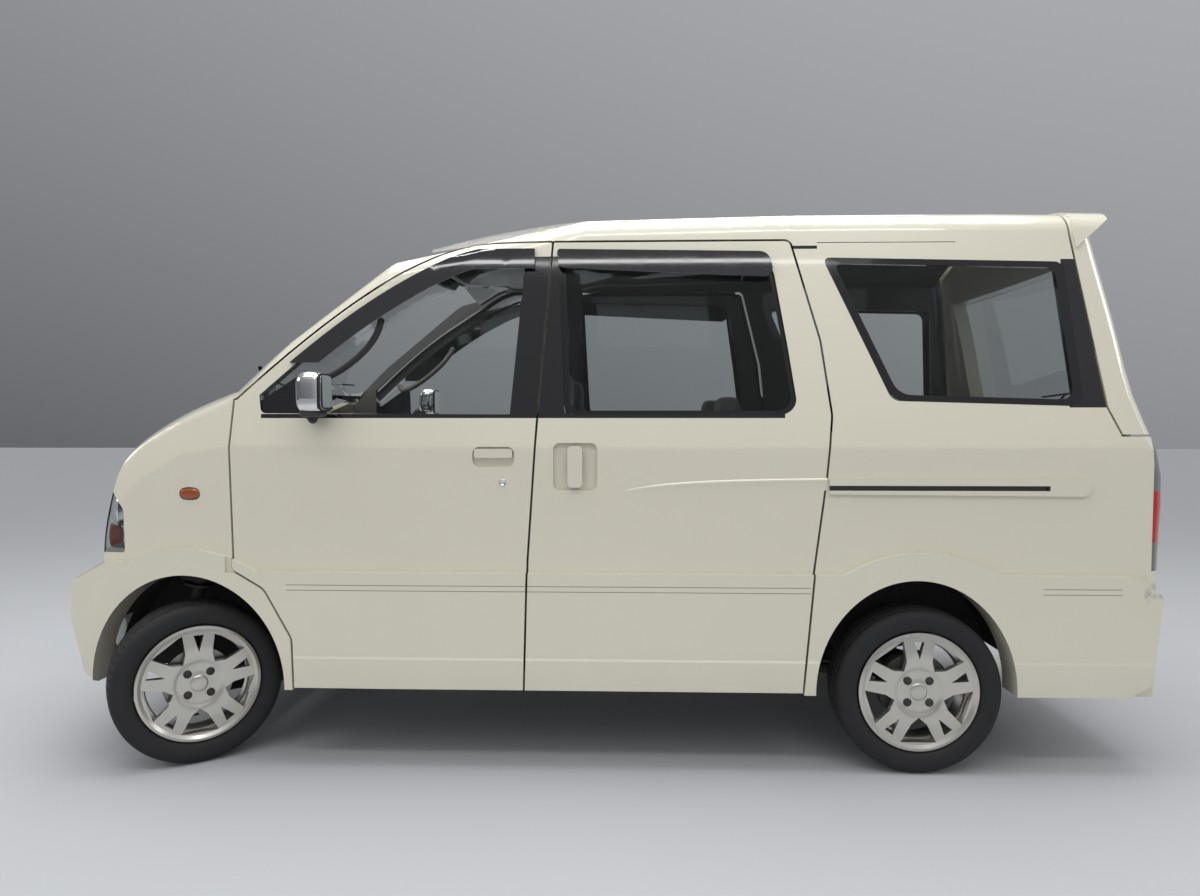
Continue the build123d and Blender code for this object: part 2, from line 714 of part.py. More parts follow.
visor_band = outline_prism([
    (b_pillar_x + 12, roof_seam_z - 26, 0), (door_front_x - 60, roof_seam_z - 26, 0),
    (door_front_x - 60, belt_z + 170, 0), (door_front_x - 330, belt_z + 170, 0), (b_pillar_x + 12, belt_z + 380, 0)],
    300, 900)
visor_low = offset_outline([
    (b_pillar_x - 200, roof_seam_z - 94, 0), (door_front_x + 60, roof_seam_z - 94, 0), (door_front_x + 60, 900.0, 0),
    (b_pillar_x - 200, 900.0, 0)], 0, under_screen=a_pillar_strip + 92)
visor_high = offset_outline([
    (b_pillar_x - 200, roof_seam_z - 26, 0), (door_front_x + 60, roof_seam_z - 26, 0), (door_front_x + 60, 900.0, 0),
    (b_pillar_x - 200, 900.0, 0)], 0, under_screen=a_pillar_strip + 30)
visor_root = offset_outline([
    (b_pillar_x - 200, roof_seam_z - 36, 0), (door_front_x + 60, roof_seam_z - 36, 0), (door_front_x + 60, 900.0, 0),
    (b_pillar_x - 200, 900.0, 0)], 0, under_screen=a_pillar_strip + 38)
door_visor = joined(
    skin_offset(17, 14, visor_high, visor_band, drop=(visor_low,)),
    skin_offset(16.9, 0.3, visor_high, visor_band, drop=(visor_root,)),
)
sliding_visor_points = [
    (b_pillar_x - 62, roof_seam_z - 28, 10), (b_pillar_x - 70, roof_seam_z - 92, 20),
    (c_pillar_x + 150, roof_seam_z - 128, 30), (c_pillar_x + 170, roof_seam_z - 40, 40),
]
sliding_visor = joined(
    skin_offset(17, 14, outline_prism(sliding_visor_points, 300, 900)),
    skin_offset(16.9, 0.3, outline_prism(sliding_visor_points, 300, 900),
                outline_prism([(b_pillar_x - 50, roof_seam_z - 20, 0), (b_pillar_x - 50, roof_seam_z - 38, 0),
                               (c_pillar_x + 180, roof_seam_z - 52, 0), (c_pillar_x + 180, roof_seam_z - 20, 0)], 300, 900)),
)

# Slide rail on the quarter panel
rail_low_z, rail_high_z = 912.0, 970.0
rail_points = [
    (c_pillar_x - 16, rail_low_z + 6, 0), (tail_x + 292, rail_low_z, 26), (tail_x + 292, rail_high_z, 26),
    (c_pillar_x - 16, rail_high_z - 4, 0)]
slide_rail = skin_offset(9, 0.3, outline_prism(rail_points, 300, 900))
slide_rail = slide_rail - (outline_prism([
    (c_pillar_x - 30, rail_low_z + 18, 0), (tail_x + 430, rail_low_z + 18, 0), (tail_x + 430, rail_low_z + 32, 0),
    (c_pillar_x - 30, rail_low_z + 34, 0)], 300, 900) - side_volume(-2.5))

# Door handles
def handle_cut(points, depth):
    return outline_prism(points, 300, 900) - side_volume(depth)


front_pull = [
    (b_pillar_x + 72, 1004.0, 24), (b_pillar_x + 72, 1070.0, 24), (b_pillar_x + 209, 1070.0, 24),
    (b_pillar_x + 209, 1004.0, 24)]
sliding_pull = [
    (b_pillar_x - 200, 929.0, 22), (b_pillar_x - 200, 1083.0, 22), (b_pillar_x - 56, 1083.0, 22),
    (b_pillar_x - 56, 929.0, 22)]
front_door = front_door - handle_cut(front_pull, 14)
front_door = front_door + piece_of(side_volume(-4), outline_prism([
    (b_pillar_x + 78, 1034.0, 8), (b_pillar_x + 78, 1064.0, 8), (b_pillar_x + 203, 1064.0, 8),
    (b_pillar_x + 203, 1034.0, 8)], 300, 900), drop=(side_volume(18),))
sliding_door = sliding_door - handle_cut(sliding_pull, 16)
sliding_door = sliding_door + piece_of(side_volume(-16), outline_prism([
    (b_pillar_x - 152, 938.0, 16), (b_pillar_x - 152, 1074.0, 16), (b_pillar_x - 104, 1074.0, 16),
    (b_pillar_x - 104, 938.0, 16)], 300, 900), drop=(side_volume(-2),))
sliding_door = sliding_door + joined(*[piece_of(side_volume(-3), outline_prism([
    (b_pillar_x - 146, z, 0), (b_pillar_x - 146, z + 20, 0), (b_pillar_x - 110, z + 20, 0),
    (b_pillar_x - 110, z, 0)], 300, 900), drop=(side_volume(20),)) for z in (944.0, 1048.0)])

# Roof spoiler
spoiler_points = [
    (roof_rear_x - 26, height + 40, 0), (tail_x + 187, height + 40, 0), (tail_x + 187, height - 70, 6),
    (tail_x + 268, height - 140, 60), (tail_x + 300, height - 170, 0), (roof_rear_x - 26, height - 120, 0)]
spoiler = piece_of(top_volume(-7), outline_prism(spoiler_points, -700, 700), side_volume(-6), drop=(whole_body.part,))


# ------------------------------------------------------------------ floor and wheels
def wheel_cut(axle_x, arch, grow, side, well_y):
    y0, y1 = sorted((side * (well_y - grow), side * 950))
    return arch_cut(axle_x, arch[0] + grow, arch[1] + grow, y0, y1)


front_arch_x = axle_front_x - 3
rear_arch_x = axle_rear_x + 15
rear_floor_x = c_pillar_x + 60
inner_floor = joined(
    piece_of(inner_plan(16.5, 0, 1300), block(rear_floor_x - 1, nose_x, -900, 900, 0, 1400)),
    piece_of(inner_plan(8.5, 0, 1300), block(tail_x - 60, rear_floor_x, -900, 900, 0, 1400)),
)
floor_sheet = sheet(
    [(firewall_x + 11, belt_z - 60), (firewall_x + 11, 610), (door_front_x - 100, 378),
     (b_pillar_x + 560, 378), (b_pillar_x + 540, 545), (b_pillar_x + 20, 545), (b_pillar_x, floor_z + 20),
     (c_pillar_x + 60, floor_z + 20), (c_pillar_x - 60, floor_z + 80), (tail_x + 115.6, floor_z + 80)],
    floor_thickness, -700, 700, 18,
)
sills = [block(c_pillar_x + 60, axle_front_x - 372, *sorted((side * 560, side * 700)), 300, 470) for side in (-1, 1)]
rails = [block(tail_x + 140, nose_x - 200, *sorted((side * 330, side * 390)), 385, 448) for side in (-1, 1)]
cuts = [wheel_cut(front_arch_x, front_arch, 14, side, front_well_y) for side in (-1, 1)]
cuts += [wheel_cut(rear_arch_x, rear_arch, 14, side, rear_well_y) for side in (-1, 1)]
cuts += [block(b_pillar_x - 60, b_pillar_x + 110, *sorted((side * 590, side * 700)), 470.1, 620) for side in (-1, 1)]
floor_pan = piece_of(joined(floor_sheet, *sills, *rails), inner_floor, drop=cuts)


# ------------------------------------------------------------------ wheels, in their own axes: +Z outward
rim_half_width = 70.0
hub_face = 40.0
spindle_radius = 17.0
running_fit = 0.05


def wheel_part():
    """Alloy wheel: barrel, dished spokes in pairs and a hub drilled for its nuts."""
    with BuildPart() as rim:
        with BuildSketch(Plane.XZ):
            with BuildLine():
                Polyline(
                    (rim_radius, -rim_half_width), (rim_radius, -rim_half_width + 6), (182, -rim_half_width + 6.5),
                    (182, -28), (166, -14), (166, 20), (182, 40), (182, rim_half_width - 6.5),
                    (rim_radius, rim_half_width - 6), (rim_radius, rim_half_width), (186, rim_half_width + 3),
                    (172, rim_half_width - 6), (172, 44), (160, 24), (160, -16), (175, -32), (175, -rim_half_width),
                    close=True,
                )
            make_face()
        revolve(axis=Axis.Z)
        with BuildSketch(Plane.XZ):
            with BuildLine():
                Polyline((0, hub_face), (60, hub_face), (84, 44), (176, 48), (176, 66), (120, 72), (84, 70),
                         (66, 62), (44, 62), (30, 64), (0, 64), close=True)
            make_face()
        revolve(axis=Axis.Z)
        for n in range(spoke_pairs):
            turn = 360.0 / spoke_pairs * n + 90
            with BuildSketch(Plane.XY.offset(30).rotated((0, 0, turn))):
                with BuildLine():
                    Polyline((84, 0), (106, -26), (166, -58), (166, 58), (106, 26), close=True)
                make_face()
            extrude(amount=80, mode=Mode.SUBTRACT)
            with BuildSketch(Plane.XY.offset(30).rotated((0, 0, turn + 180.0 / spoke_pairs))):
                with BuildLine():
                    Polyline((108, 0), (164, -16), (164, 16), close=True)
                make_face()
            extrude(amount=80, mode=Mode.SUBTRACT)
        with Locations((0, 0, 0)):
            with PolarLocations(lug_circle, lug_count, start_angle=45):
                Hole(6.5)
        with BuildSketch(Plane.XY):
            Circle(spindle_radius + running_fit)
        extrude(amount=50, mode=Mode.SUBTRACT)
    return rim.part


def tyre_part():
    half = tyre_width / 2
    with BuildPart() as tyre:
        with BuildSketch(Plane.XZ):
            with BuildLine():
                Polyline((182.3, -62), (182.3, 62), (195.4, 63.2), (200, 72))
                ThreePointArc((200, 72), (232, half), (256, 76))
                ThreePointArc((256, 76), (264, 71), (268, 60))
                ThreePointArc((268, 60), (tyre_radius, 0), (268, -60))
                ThreePointArc((268, -60), (264, -71), (256, -76))
                ThreePointArc((256, -76), (232, -half), (200, -72))
                Polyline((200, -72), (195.4, -63.2), (182.3, -62))
            make_face()
        revolve(axis=Axis.Z)
    return tyre.part


wheel = wheel_part()
tyre = tyre_part()

# ------------------------------------------------------------------ steering and front suspension
king_tilt = 11.0
king_offset = 32.0
ball_z = 165.0
housing_outer_y = 612.0
strut_top_z = 700.0
turn = radians(rest_steer)


def wheel_plane(axle_x, side, steer=0.0):
    """A wheel's own axes: origin at its centre, +Z outward along its spin axis, +X forward."""
    a = radians(steer)
    return Plane(
        origin=(axle_x, side * wheel_y, tyre_radius),
        x_dir=(cos(a), sin(a), 0), z_dir=(-side * sin(a), side * cos(a), 0),
    )


def in_wheel(plane, forward, up, outward):
    """World point from a wheel's forward, up and outward distances."""
    return plane.origin + plane.x_dir * forward + Vector(0, 0, up) + plane.z_dir * outward


def king_point(side, z):
    """Point of the steering axis at a height."""
    foot = in_wheel(wheel_plane(axle_front_x, side, rest_steer), 0, 0, -king_offset)
    return Vector(foot.X, foot.Y - side * tan(radians(king_tilt)) * (z - tyre_radius), z)


def knuckle(side):
    """Steering knuckle with its spindle, strut tube, spring and steering arm."""
    plane = wheel_plane(axle_front_x, side, rest_steer)
    at = lambda forward, up, outward: in_wheel(plane, forward, up, outward)
    pad = king_point(side, ball_z + 14)
    king = (king_point(side, strut_top_z) - king_point(side, ball_z)).normalized()
    strut_low, strut_top = at(0, 130, -125), king_point(side, strut_top_z)
    strut = (strut_top - strut_low).normalized()
    pieces = [
        rod(at(0, 0, -62), at(0, 0, hub_face + 8), spindle_radius),
        rod(at(0, 0, -78), at(0, 0, -46), 52),
        rod(pad, pad + king * 34, 19),
        rod(pad + king * 22, at(0, -34, -70), 17),
        rod(at(0, 20, -66), at(0, 112, -96), 22),
        rod(at(0, 105, -92), at(0, 140, -124), 22),
        rod(strut_low, strut_top - strut * 8, 21),
        rod(strut_low + strut * 175, strut_low + strut * 183, 50),
        rod(at(0, -16, -66), at(-105, -40, -84), 11),
    ]
    pieces.append(rod(strut_top - king * 30, strut_top, 21))
    spring_low, spring_high = strut_low + strut * 190, strut_top - strut * 34
    coils = 4
    for n in range(coils):
        middle = spring_low + (spring_high - spring_low) * ((n + 0.5) / coils)
        with BuildPart() as ring:
            with BuildSketch(Plane(origin=middle, z_dir=strut)):
                Circle(44)
                Circle(20, mode=Mode.SUBTRACT)
            extrude(amount=4.5, both=True)
        pieces.append(ring.part)
    return joined(*pieces)


def brake_disc():
    with BuildPart() as disc:
        with BuildSketch(Plane.XY.offset(8)):
            Circle(112)
        extrude(amount=18)
        with BuildSketch(Plane.XY.offset(20)):
            Circle(70)
        extrude(amount=hub_face - 20)
        with BuildSketch(Plane.XY.offset(-40)):
            Circle(32)
        extrude(amount=60)
        with BuildSketch(Plane.XY.offset(-60)):
            Circle(spindle_radius + running_fit)
        extrude(amount=120, mode=Mode.SUBTRACT)
    return disc.part


def brake_drum():
    with BuildPart() as drum:
        with BuildSketch(Plane.XY.offset(-22)):
            Circle(118)
        extrude(amount=48)
        with BuildSketch(Plane.XY.offset(20)):
            Circle(76)
        extrude(amount=hub_face - 20)
        with BuildSketch(Plane.XY.offset(-60)):
            Circle(spindle_radius + running_fit)
        extrude(amount=120, mode=Mode.SUBTRACT)
    return drum.part


# ------------------------------------------------------------------ fixed carrying parts
def front_crossmember():
    """Cross member with one lower arm to each ball joint and a strut tower over each strut."""
    pieces = [block(axle_front_x - 120, axle_front_x + 60, -330, 330, 150, 215)]
    for side in (-1, 1):
        pad = king_point(side, ball_z + 14)
        king = (king_point(side, strut_top_z) - king_point(side, ball_z)).normalized()
        y0, y1 = sorted((side * 330, side * 390))
        pieces += [
            rod(pad - king * 38, pad - king * 0.3, 20),
            rod(pad - king * 21, (axle_front_x - 10, side * 300, 183), 15),
            rod((axle_front_x, side * 452, 176), (axle_front_x - 295, side * 350, 205), 13),
            block(axle_front_x - 120, axle_front_x - 40, y0, y1, 180, 384.7),
            block(axle_front_x - 330, axle_front_x - 260, y0, y1, 190, 366.7),
        ]
    return joined(*pieces)


def wheel_housing(axle_x, arch, well_y, outer_y, low_z):
    """Liner over one wheel: an arched sheet closed on its inner side."""
    with BuildPart() as liner:
        add(arch_cut(axle_x, arch[0] + 12, arch[1] + 12, well_y - 6, outer_y))
        add(arch_cut(axle_x, arch[0] + 7, arch[1] + 7, well_y, outer_y + 10), mode=Mode.SUBTRACT)
        add(block(axle_x - 500, axle_x + 500, 0, 900, -200, low_z), mode=Mode.SUBTRACT)
        add(inner_plan(1.5, -300, 900), mode=Mode.INTERSECT)
    return liner.part


def front_housing(side):
    """Front liner with the tower that carries the top of the strut."""
    liner = wheel_housing(front_arch_x, front_arch, front_well_y, housing_outer_y, tyre_radius - 20)
    liner = liner - block(axle_front_x + 290, nose_x, 520, 900, -200, 470)
    if side < 0:
        liner = mirror(liner, about=Plane.XZ)
    top = king_point(side, strut_top_z)
    king = (top - king_point(side, ball_z)).normalized()
    with BuildPart() as housing:
        add(liner)
        for radius, low, high, mode in ((88, 600, 22, Mode.ADD), (82, 500, 16, Mode.SUBTRACT)):
            with BuildSketch(Plane.XY.offset(low)):
                with Locations((top.X, side * (front_well_y + 116))):
                    Circle(radius)
            extrude(amount=strut_top_z + high - low, mode=mode)
        add(rod(top + king * 0.3, top + king * 19, 24))
        add(block(axle_front_x - 60, axle_front_x + 60, *sorted((side * 390.3, side * (front_well_y - 4))), 396, 440))
    return housing.part


def rear_housing():
    """Rear liner with the flange that meets the floor, on the left."""
    liner = wheel_housing(rear_arch_x, rear_arch, rear_well_y, housing_outer_y - 10, tyre_radius + 110)
    flange = block(rear_arch_x - 150, rear_arch_x + 150, rear_well_y - 13.7, rear_well_y - 4, 512, 528)
    return joined(liner, flange)


def rear_axle():
    """Live axle: tube, differential, spindles, trailing arms and coil springs."""
    spin = [wheel_plane(axle_rear_x, side) for side in (-1, 1)]
    pieces = [rod((axle_rear_x, -wheel_y + 78, tyre_radius), (axle_rear_x, wheel_y - 78, tyre_radius), 36)]
    with BuildPart() as diff:
        with Locations((axle_rear_x, 0, tyre_radius)):
            Sphere(112)
    pieces.append(diff.part)
    pieces.append(rod((axle_rear_x, 0, tyre_radius), (axle_rear_x + 190, 0, tyre_radius + 6), 42))
    for side in (-1, 1):
        plane = wheel_plane(axle_rear_x, side)
        at = lambda forward, up, outward: in_wheel(plane, forward, up, outward)
        pieces += [
            rod(at(0, 0, -80), at(0, 0, hub_face + 8), spindle_radius),
            rod(at(0, 0, -86), at(0, 0, -46), 60),
            rod((axle_rear_x, side * 470, tyre_radius - 10), (axle_rear_x + 520, side * 430, tyre_radius + 10), 18),
            rod((axle_rear_x + 520, side * 430, tyre_radius + 10), (axle_rear_x + 520, side * 352, tyre_radius + 30), 18),
            block(axle_rear_x + 490, axle_rear_x + 550, *sorted((side * 338, side * 382)), 280, 384.7),
            rod((axle_rear_x, side * 436, tyre_radius + 20), (axle_rear_x, side * 436, floor_z + 80 - floor_thickness / 2 - 0.3), 15),
        ]
        for n in range(5):
            with BuildPart() as ring:
                with BuildSketch(Plane.XY.offset(tyre_radius + 50 + 34 * n)):
                    with Locations((axle_rear_x, side * 436)):
                        Circle(38)
                        Circle(14, mode=Mode.SUBTRACT)
                extrude(amount=9)
            pieces.append(ring.part)
    return joined(*pieces)


def fuel_tank():
    with BuildPart() as tank:
        with Locations((c_pillar_x + 330, 200, (236 + floor_z + 8.7) / 2)):
            Box(520, 240, floor_z + 8.7 - 236)
        fillet(tank.edges().filter_by(Axis.Z), 40)
        fillet(tank.faces().sort_by(Axis.Z)[0].edges(), 18)
    return tank.part


def engine():
    with BuildPart() as block_part:
        with Locations((b_pillar_x + 280, 0, 375)):
            Box(430, 440, 300)
        fillet(block_part.edges().filter_by(Axis.X), 40)
        with Locations((b_pillar_x + 280, 0, 415)):
            Box(90, 2 * 330 - 0.6, 46)
    return block_part.part



# ------------------------------------------------------------------ seats and dashboard
seat_foot = {"front": 545.0, "second": 460.0, "third": 520.0}


def seat(x, y, width, base_z, back=620.0, headrests=1):
    """One seat: cushion, reclined back and headrests; base_z is the floor it stands on."""
    with BuildPart() as body:
        with BuildSketch(Plane.XZ.offset(-(y + width / 2))):
            with BuildLine():
                FilletPolyline(
                    (x - 40, base_z + 60), (x + 400, base_z + 90), (x + 440, base_z + 150), (x + 400, base_z + 215),
                    (x + 60, base_z + 185), (x - 95, base_z + back), (x - 210, base_z + back - 20),
                    (x - 70, base_z + 90), close=True, radius=30,
                )
            make_face()
        extrude(amount=width)
        fillet(body.faces().sort_by(Axis.Y)[0].edges() + body.faces().sort_by(Axis.Y)[-1].edges(), 18)
        foot = block(x - 10, x + 330, y - width / 2 + 60, y + width / 2 - 60, base_z + floor_thickness / 2 + 0.3, base_z + 100)
        add(foot)
        for n in range(headrests):
            spread = width / headrests
            head_y = y + spread * (n - (headrests - 1) / 2)
            with Locations((x - 165, head_y, base_z + back + 95)):
                Box(90, 250, 150)
            for post in (-55, 55):
                with Locations((x - 158, head_y + post, base_z + back + 20)):
                    Cylinder(7, 110)
    return body.part


front_seats = both(seat(b_pillar_x + 110, 335, 500, 545))
second_seat = seat(c_pillar_x + 430, 0, 1180, floor_z + 20, headrests=2)
third_seats = both(seat(axle_rear_x - 100, 242, 440, floor_z + 80, back=560))

cabin_plan = inner_plan(62, floor_z, 1300)
dashboard_points = [
    (firewall_x - 0.3, belt_z + 10, 0), (firewall_x - 0.3, 760.0, 0), (firewall_x - 150, 700.0, 60),
    (firewall_x - 290, 800.0, 60), (firewall_x - 330, 1010.0, 60), (firewall_x - 250, belt_z - 70, 60),
    (firewall_x - 120, belt_z - 20, 60),
]
dashboard = piece_of(outline_prism(dashboard_points, -640, 640), cabin_plan)
wheel_side = -1
column_top = Vector(firewall_x - 430, wheel_side * 335, 1010)
column_dir = Vector(-0.86, 0, 0.51).normalized()


def steering_wheel_part():
    """Rim, three spokes and hub pad, in its own axes: +Z towards the driver."""
    with BuildPart() as wheel_body:
        with BuildSketch(Plane.XZ) as rim_section:
            with Locations((182, 0)):
                Circle(14)
        revolve(axis=Axis.Z)
        with BuildSketch(Plane.XY.offset(-34)):
            Circle(66)
        extrude(amount=34, taper=8)
        for angle in (0, 180, 270):
            end = (cos(radians(angle)) * 178, sin(radians(angle)) * 178, -2)
            add(rod((cos(radians(angle)) * 40, sin(radians(angle)) * 40, -20), end, 13))
        with BuildSketch(Plane.XY.offset(-60)):
            Circle(20)
        extrude(amount=30)
    return wheel_body.part


column_plane = Plane(origin=column_top, x_dir=(0, 1, 0), z_dir=column_dir)
steering_wheel = column_plane.location * steering_wheel_part()
column = rod(column_top - column_dir * 60.3, column_top - column_dir * 230, 30)
dashboard = joined(dashboard, column)
# ------------------------------------------------------------------ outside fittings
def mirror_part():
    """Door mirror: bulged housing on a short arm from the window corner."""
    with BuildPart() as housing:
        with BuildSketch(Plane.YZ.offset(door_front_x - 352)):
            with Locations((body_half_width + 68, belt_z + 66)):
                RectangleRounded(128, 140, 34)
        extrude(amount=26)
        with BuildSketch(Plane.YZ.offset(door_front_x - 326)) as base:
            with Locations((body_half_width + 68, belt_z + 66)):
                RectangleRounded(128, 140, 34)
        with BuildSketch(Plane.YZ.offset(door_front_x - 262)) as tip:
            with Locations((body_half_width + 60, belt_z + 62)):
                RectangleRounded(84, 96, 30)
        loft()
    arm = rod((door_front_x - 296, body_half_width + 30, belt_z + 34), (door_front_x - 270, body_half_width - 40, belt_z - 22), 15)
    return piece_of(joined(housing.part, arm), drop=(side_volume(-0.3),))




# ------------------------------------------------------------------ exhaust, shaft, eyes and wipers
def exhaust_part():
    """Pipe from the engine over the axle to a silencer and a tail pipe."""
    pipe = [
        (b_pillar_x + 63.8, -150, 300), (c_pillar_x - 140, -200, 300), (axle_rear_x + 90, -200, 372),
        (axle_rear_x - 90, -200, 372), (axle_rear_x - 220, -230, 320), (axle_rear_x - 300, -260, 300)]
    pieces = [rod(a, b, 20) for a, b in zip(pipe, pipe[1:])]
    for corner in pipe[1:-1]:
        with BuildPart() as elbow:
            with Locations(corner):
                Sphere(20)
        pieces.append(elbow.part)
    pieces.append(rod((axle_rear_x - 270, -260, 300), (axle_rear_x - 600, -260, 300), 82))
    pieces.append(rod((axle_rear_x - 590, -290, 262), (tail_x + 46, -330, 232), 17))
    return joined(*pieces)


def propeller_shaft():
    return rod((b_pillar_x + 63.8, 0, tyre_radius + 40), (axle_rear_x + 190.3, 0, tyre_radius + 6), 30)


tow_eye_radius = 11.0


def tow_eye(x, y, z):
    """Flat plate with a hole, under a bumper."""
    with BuildPart() as eye:
        with BuildSketch(Plane.XZ.offset(-y)):
            with Locations((x, z)):
                RectangleRounded(60, 52, 14)
                Circle(tow_eye_radius, mode=Mode.SUBTRACT)
        extrude(amount=6, both=True)
    return eye.part


# ------------------------------------------------------------------ write every piece
def write_pair(name, left, tags=("left", "right")):
    finish(f"{name}_{tags[0]}", left)
    finish(f"{name}_{tags[1]}", mirror(left, about=Plane.XZ))


def write_group(name, parts):
    """Several like solids that don't touch, as one node."""
    finish(name, Compound(children=list(parts)))


finish("floor_pan", floor_pan)
write_group("roof_panel", [joined(*both(roof_half))])
write_pair("body_side", body_side)
write_group("front_fenders", both(fender))
finish("front_bumper", joined(*both(front_bumper_half)))
finish("rear_bumper", joined(*both(rear_bumper_half)))
finish("bonnet", bonnet.part)
finish("grille", grille)
write_group("headlamps", both(lamp_lens))
finish("windscreen", windscreen.part)
finish("dashboard", dashboard)
write_group("front_seats", front_seats)
finish("second_row_seat", second_seat)
write_group("third_row_seats", third_seats)
write_pair("sliding_door", sliding_door)
write_group("sliding_glass", both(sliding_glass))
write_group("quarter_glass", both(quarter_glass))
write_group("sliding_visors", both(sliding_visor))
write_group("slide_rails", both(slide_rail))
write_group("tail_lamps", both(tail_lamp))
finish("engine_block", engine())
finish("fuel_tank", fuel_tank())
finish("exhaust", exhaust_part())
finish("propeller_shaft", propeller_shaft())
finish("rear_axle", rear_axle())
finish("front_crossmember", front_crossmember())
write_group("wheel_housings", [front_housing(1), front_housing(-1), *both(rear_housing())])
write_pair("front_door", front_door)
write_pair("door_glass", door_glass)
write_pair("door_visor", door_visor)
write_pair("door_mirror", mirror_part())
finish("tailgate", tailgate)
finish("tailgate_glass", gate_glass)
finish("roof_spoiler", spoiler)
finish("steering_wheel", steering_wheel)
for side, tag in ((1, "left"), (-1, "right")):
    finish(f"knuckle_{tag}", knuckle(side))
    for axle_x, steer, end in ((axle_front_x, rest_steer, "front"), (axle_rear_x, 0.0, "rear")):
        place = wheel_plane(axle_x, side, steer).location
        finish(f"wheel_{end}_{tag}", place * wheel)
        finish(f"tyre_{end}_{tag}", place * tyre)
        finish(f"brake_{end}_{tag}", place * (brake_disc() if end == "front" else brake_drum()))
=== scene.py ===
import bmesh, bpy, json
import numpy as np
from math import cos, pi, radians, sin
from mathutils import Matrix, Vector
from mathutils.bvhtree import BVHTree


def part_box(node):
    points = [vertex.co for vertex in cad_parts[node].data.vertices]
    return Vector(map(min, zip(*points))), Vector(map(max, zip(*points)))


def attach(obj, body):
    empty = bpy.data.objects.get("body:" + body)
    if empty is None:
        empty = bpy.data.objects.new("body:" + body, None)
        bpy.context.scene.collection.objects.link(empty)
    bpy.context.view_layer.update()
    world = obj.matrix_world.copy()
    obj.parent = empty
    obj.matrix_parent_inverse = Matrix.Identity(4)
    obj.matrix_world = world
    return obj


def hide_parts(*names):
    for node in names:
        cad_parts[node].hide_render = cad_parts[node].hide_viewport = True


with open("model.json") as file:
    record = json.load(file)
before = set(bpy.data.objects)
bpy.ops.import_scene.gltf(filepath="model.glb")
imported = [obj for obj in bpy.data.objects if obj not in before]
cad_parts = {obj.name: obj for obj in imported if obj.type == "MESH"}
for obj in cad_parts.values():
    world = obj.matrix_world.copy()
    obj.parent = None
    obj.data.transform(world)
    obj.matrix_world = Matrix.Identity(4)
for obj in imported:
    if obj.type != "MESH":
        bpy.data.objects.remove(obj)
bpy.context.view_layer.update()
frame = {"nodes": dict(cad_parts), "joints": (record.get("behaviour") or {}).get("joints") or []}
nodes = frame["nodes"]
joints = {joint["name"]: joint for joint in frame["joints"]}
sides = ((1, "left"), (-1, "right"))
print("stage: frame loaded")


# a new shader node: its options, and its inputs as numbers or as other nodes' outputs
def addNode(tree, kind, inputs, **options):
    node = tree.nodes.new("ShaderNode" + kind)
    for option, value in options.items():
        setattr(node, option, value)
    for socket, value in inputs.items():
        if isinstance(value, bpy.types.NodeSocket):
            tree.links.new(value, node.inputs[socket])
        else:
            node.inputs[socket].default_value = value
    return node


# what a socket has now: the output that feeds it, or its own value
def fedBy(socket):
    return socket.links[0].from_socket if socket.is_linked else socket.default_value


def shaderOf(material):
    return material.node_tree.nodes["Principled BSDF"]


def newMaterial(name, color, roughness=0.5, metallic=0.0, coat=0.0, transmission=0.0, ior=1.5, specular=0.5,
                sheen=0.0):
    material = bpy.data.materials.new(name)
    material.use_nodes = True
    looks = {"Base Color": (*color, 1), "Roughness": roughness, "Metallic": metallic, "Coat Weight": coat,
             "Coat Roughness": 0.04, "Transmission Weight": transmission, "IOR": ior,
             "Specular IOR Level": specular, "Sheen Weight": sheen}
    for socket, value in looks.items():
        shaderOf(material).inputs[socket].default_value = value
    material.diffuse_color = (*color, 1)
    return material


# one Math node on two numbers or outputs
def combine(material, operation, first, second=0.0):
    return addNode(material.node_tree, "Math", {0: first, 1: second}, operation=operation).outputs[0]


# x, y and z of the place on the piece, or of its outward direction
def objectAxes(material, output="Object"):
    place = addNode(material.node_tree, "TexCoord", {})
    return addNode(material.node_tree, "SeparateXYZ", {0: place.outputs[output]}).outputs


# masks are 1 inside and 0 outside
def above(material, socket, level):
    return combine(material, "GREATER_THAN", socket, level)


def below(material, socket, level):
    return combine(material, "LESS_THAN", socket, level)


def between(material, socket, low, high):
    return combine(material, "MULTIPLY", above(material, socket, low), below(material, socket, high))


def union(material, *masks):
    total = masks[0]
    for mask in masks[1:]:
        total = combine(material, "MAXIMUM", total, mask)
    return total


def overlap(material, *masks):
    total = masks[0]
    for mask in masks[1:]:
        total = combine(material, "MULTIPLY", total, mask)
    return total


# base colour turns to color where the mask is 1, and so does the roughness where one is given
def paintOver(material, mask, color, roughness=None):
    tree = material.node_tree
    base = shaderOf(material).inputs["Base Color"]
    mix = addNode(tree, "Mix", {0: mask, 6: fedBy(base), 7: (*color, 1)}, data_type="RGBA")
    tree.links.new(mix.outputs[2], base)
    if roughness is not None:
        old = shaderOf(material).inputs["Roughness"]
        blend = addNode(tree, "Mix", {0: mask, 2: fedBy(old), 3: roughness})
        tree.links.new(blend.outputs[0], old)


# noise or cell pattern fixed to the piece
def pattern(material, kind, scale, **inputs):
    place = addNode(material.node_tree, "TexCoord", {}).outputs["Object"]
    return addNode(material.node_tree, kind, {"Scale": scale, "Vector": place, **inputs}).outputs


# base colour goes lighter and darker by the amount, with a noise of the given scale
def mottle(material, scale, amount):
    tree = material.node_tree
    noise = pattern(material, "TexNoise", scale, Detail=4.0)["Fac"]
    value = addNode(tree, "MapRange", {0: noise, 3: 1 - amount, 4: 1 + amount}).outputs[0]
    base = shaderOf(material).inputs["Base Color"]
    tint = addNode(tree, "HueSaturation", {"Color": fedBy(base), "Value": value})
    tree.links.new(tint.outputs["Color"], base)


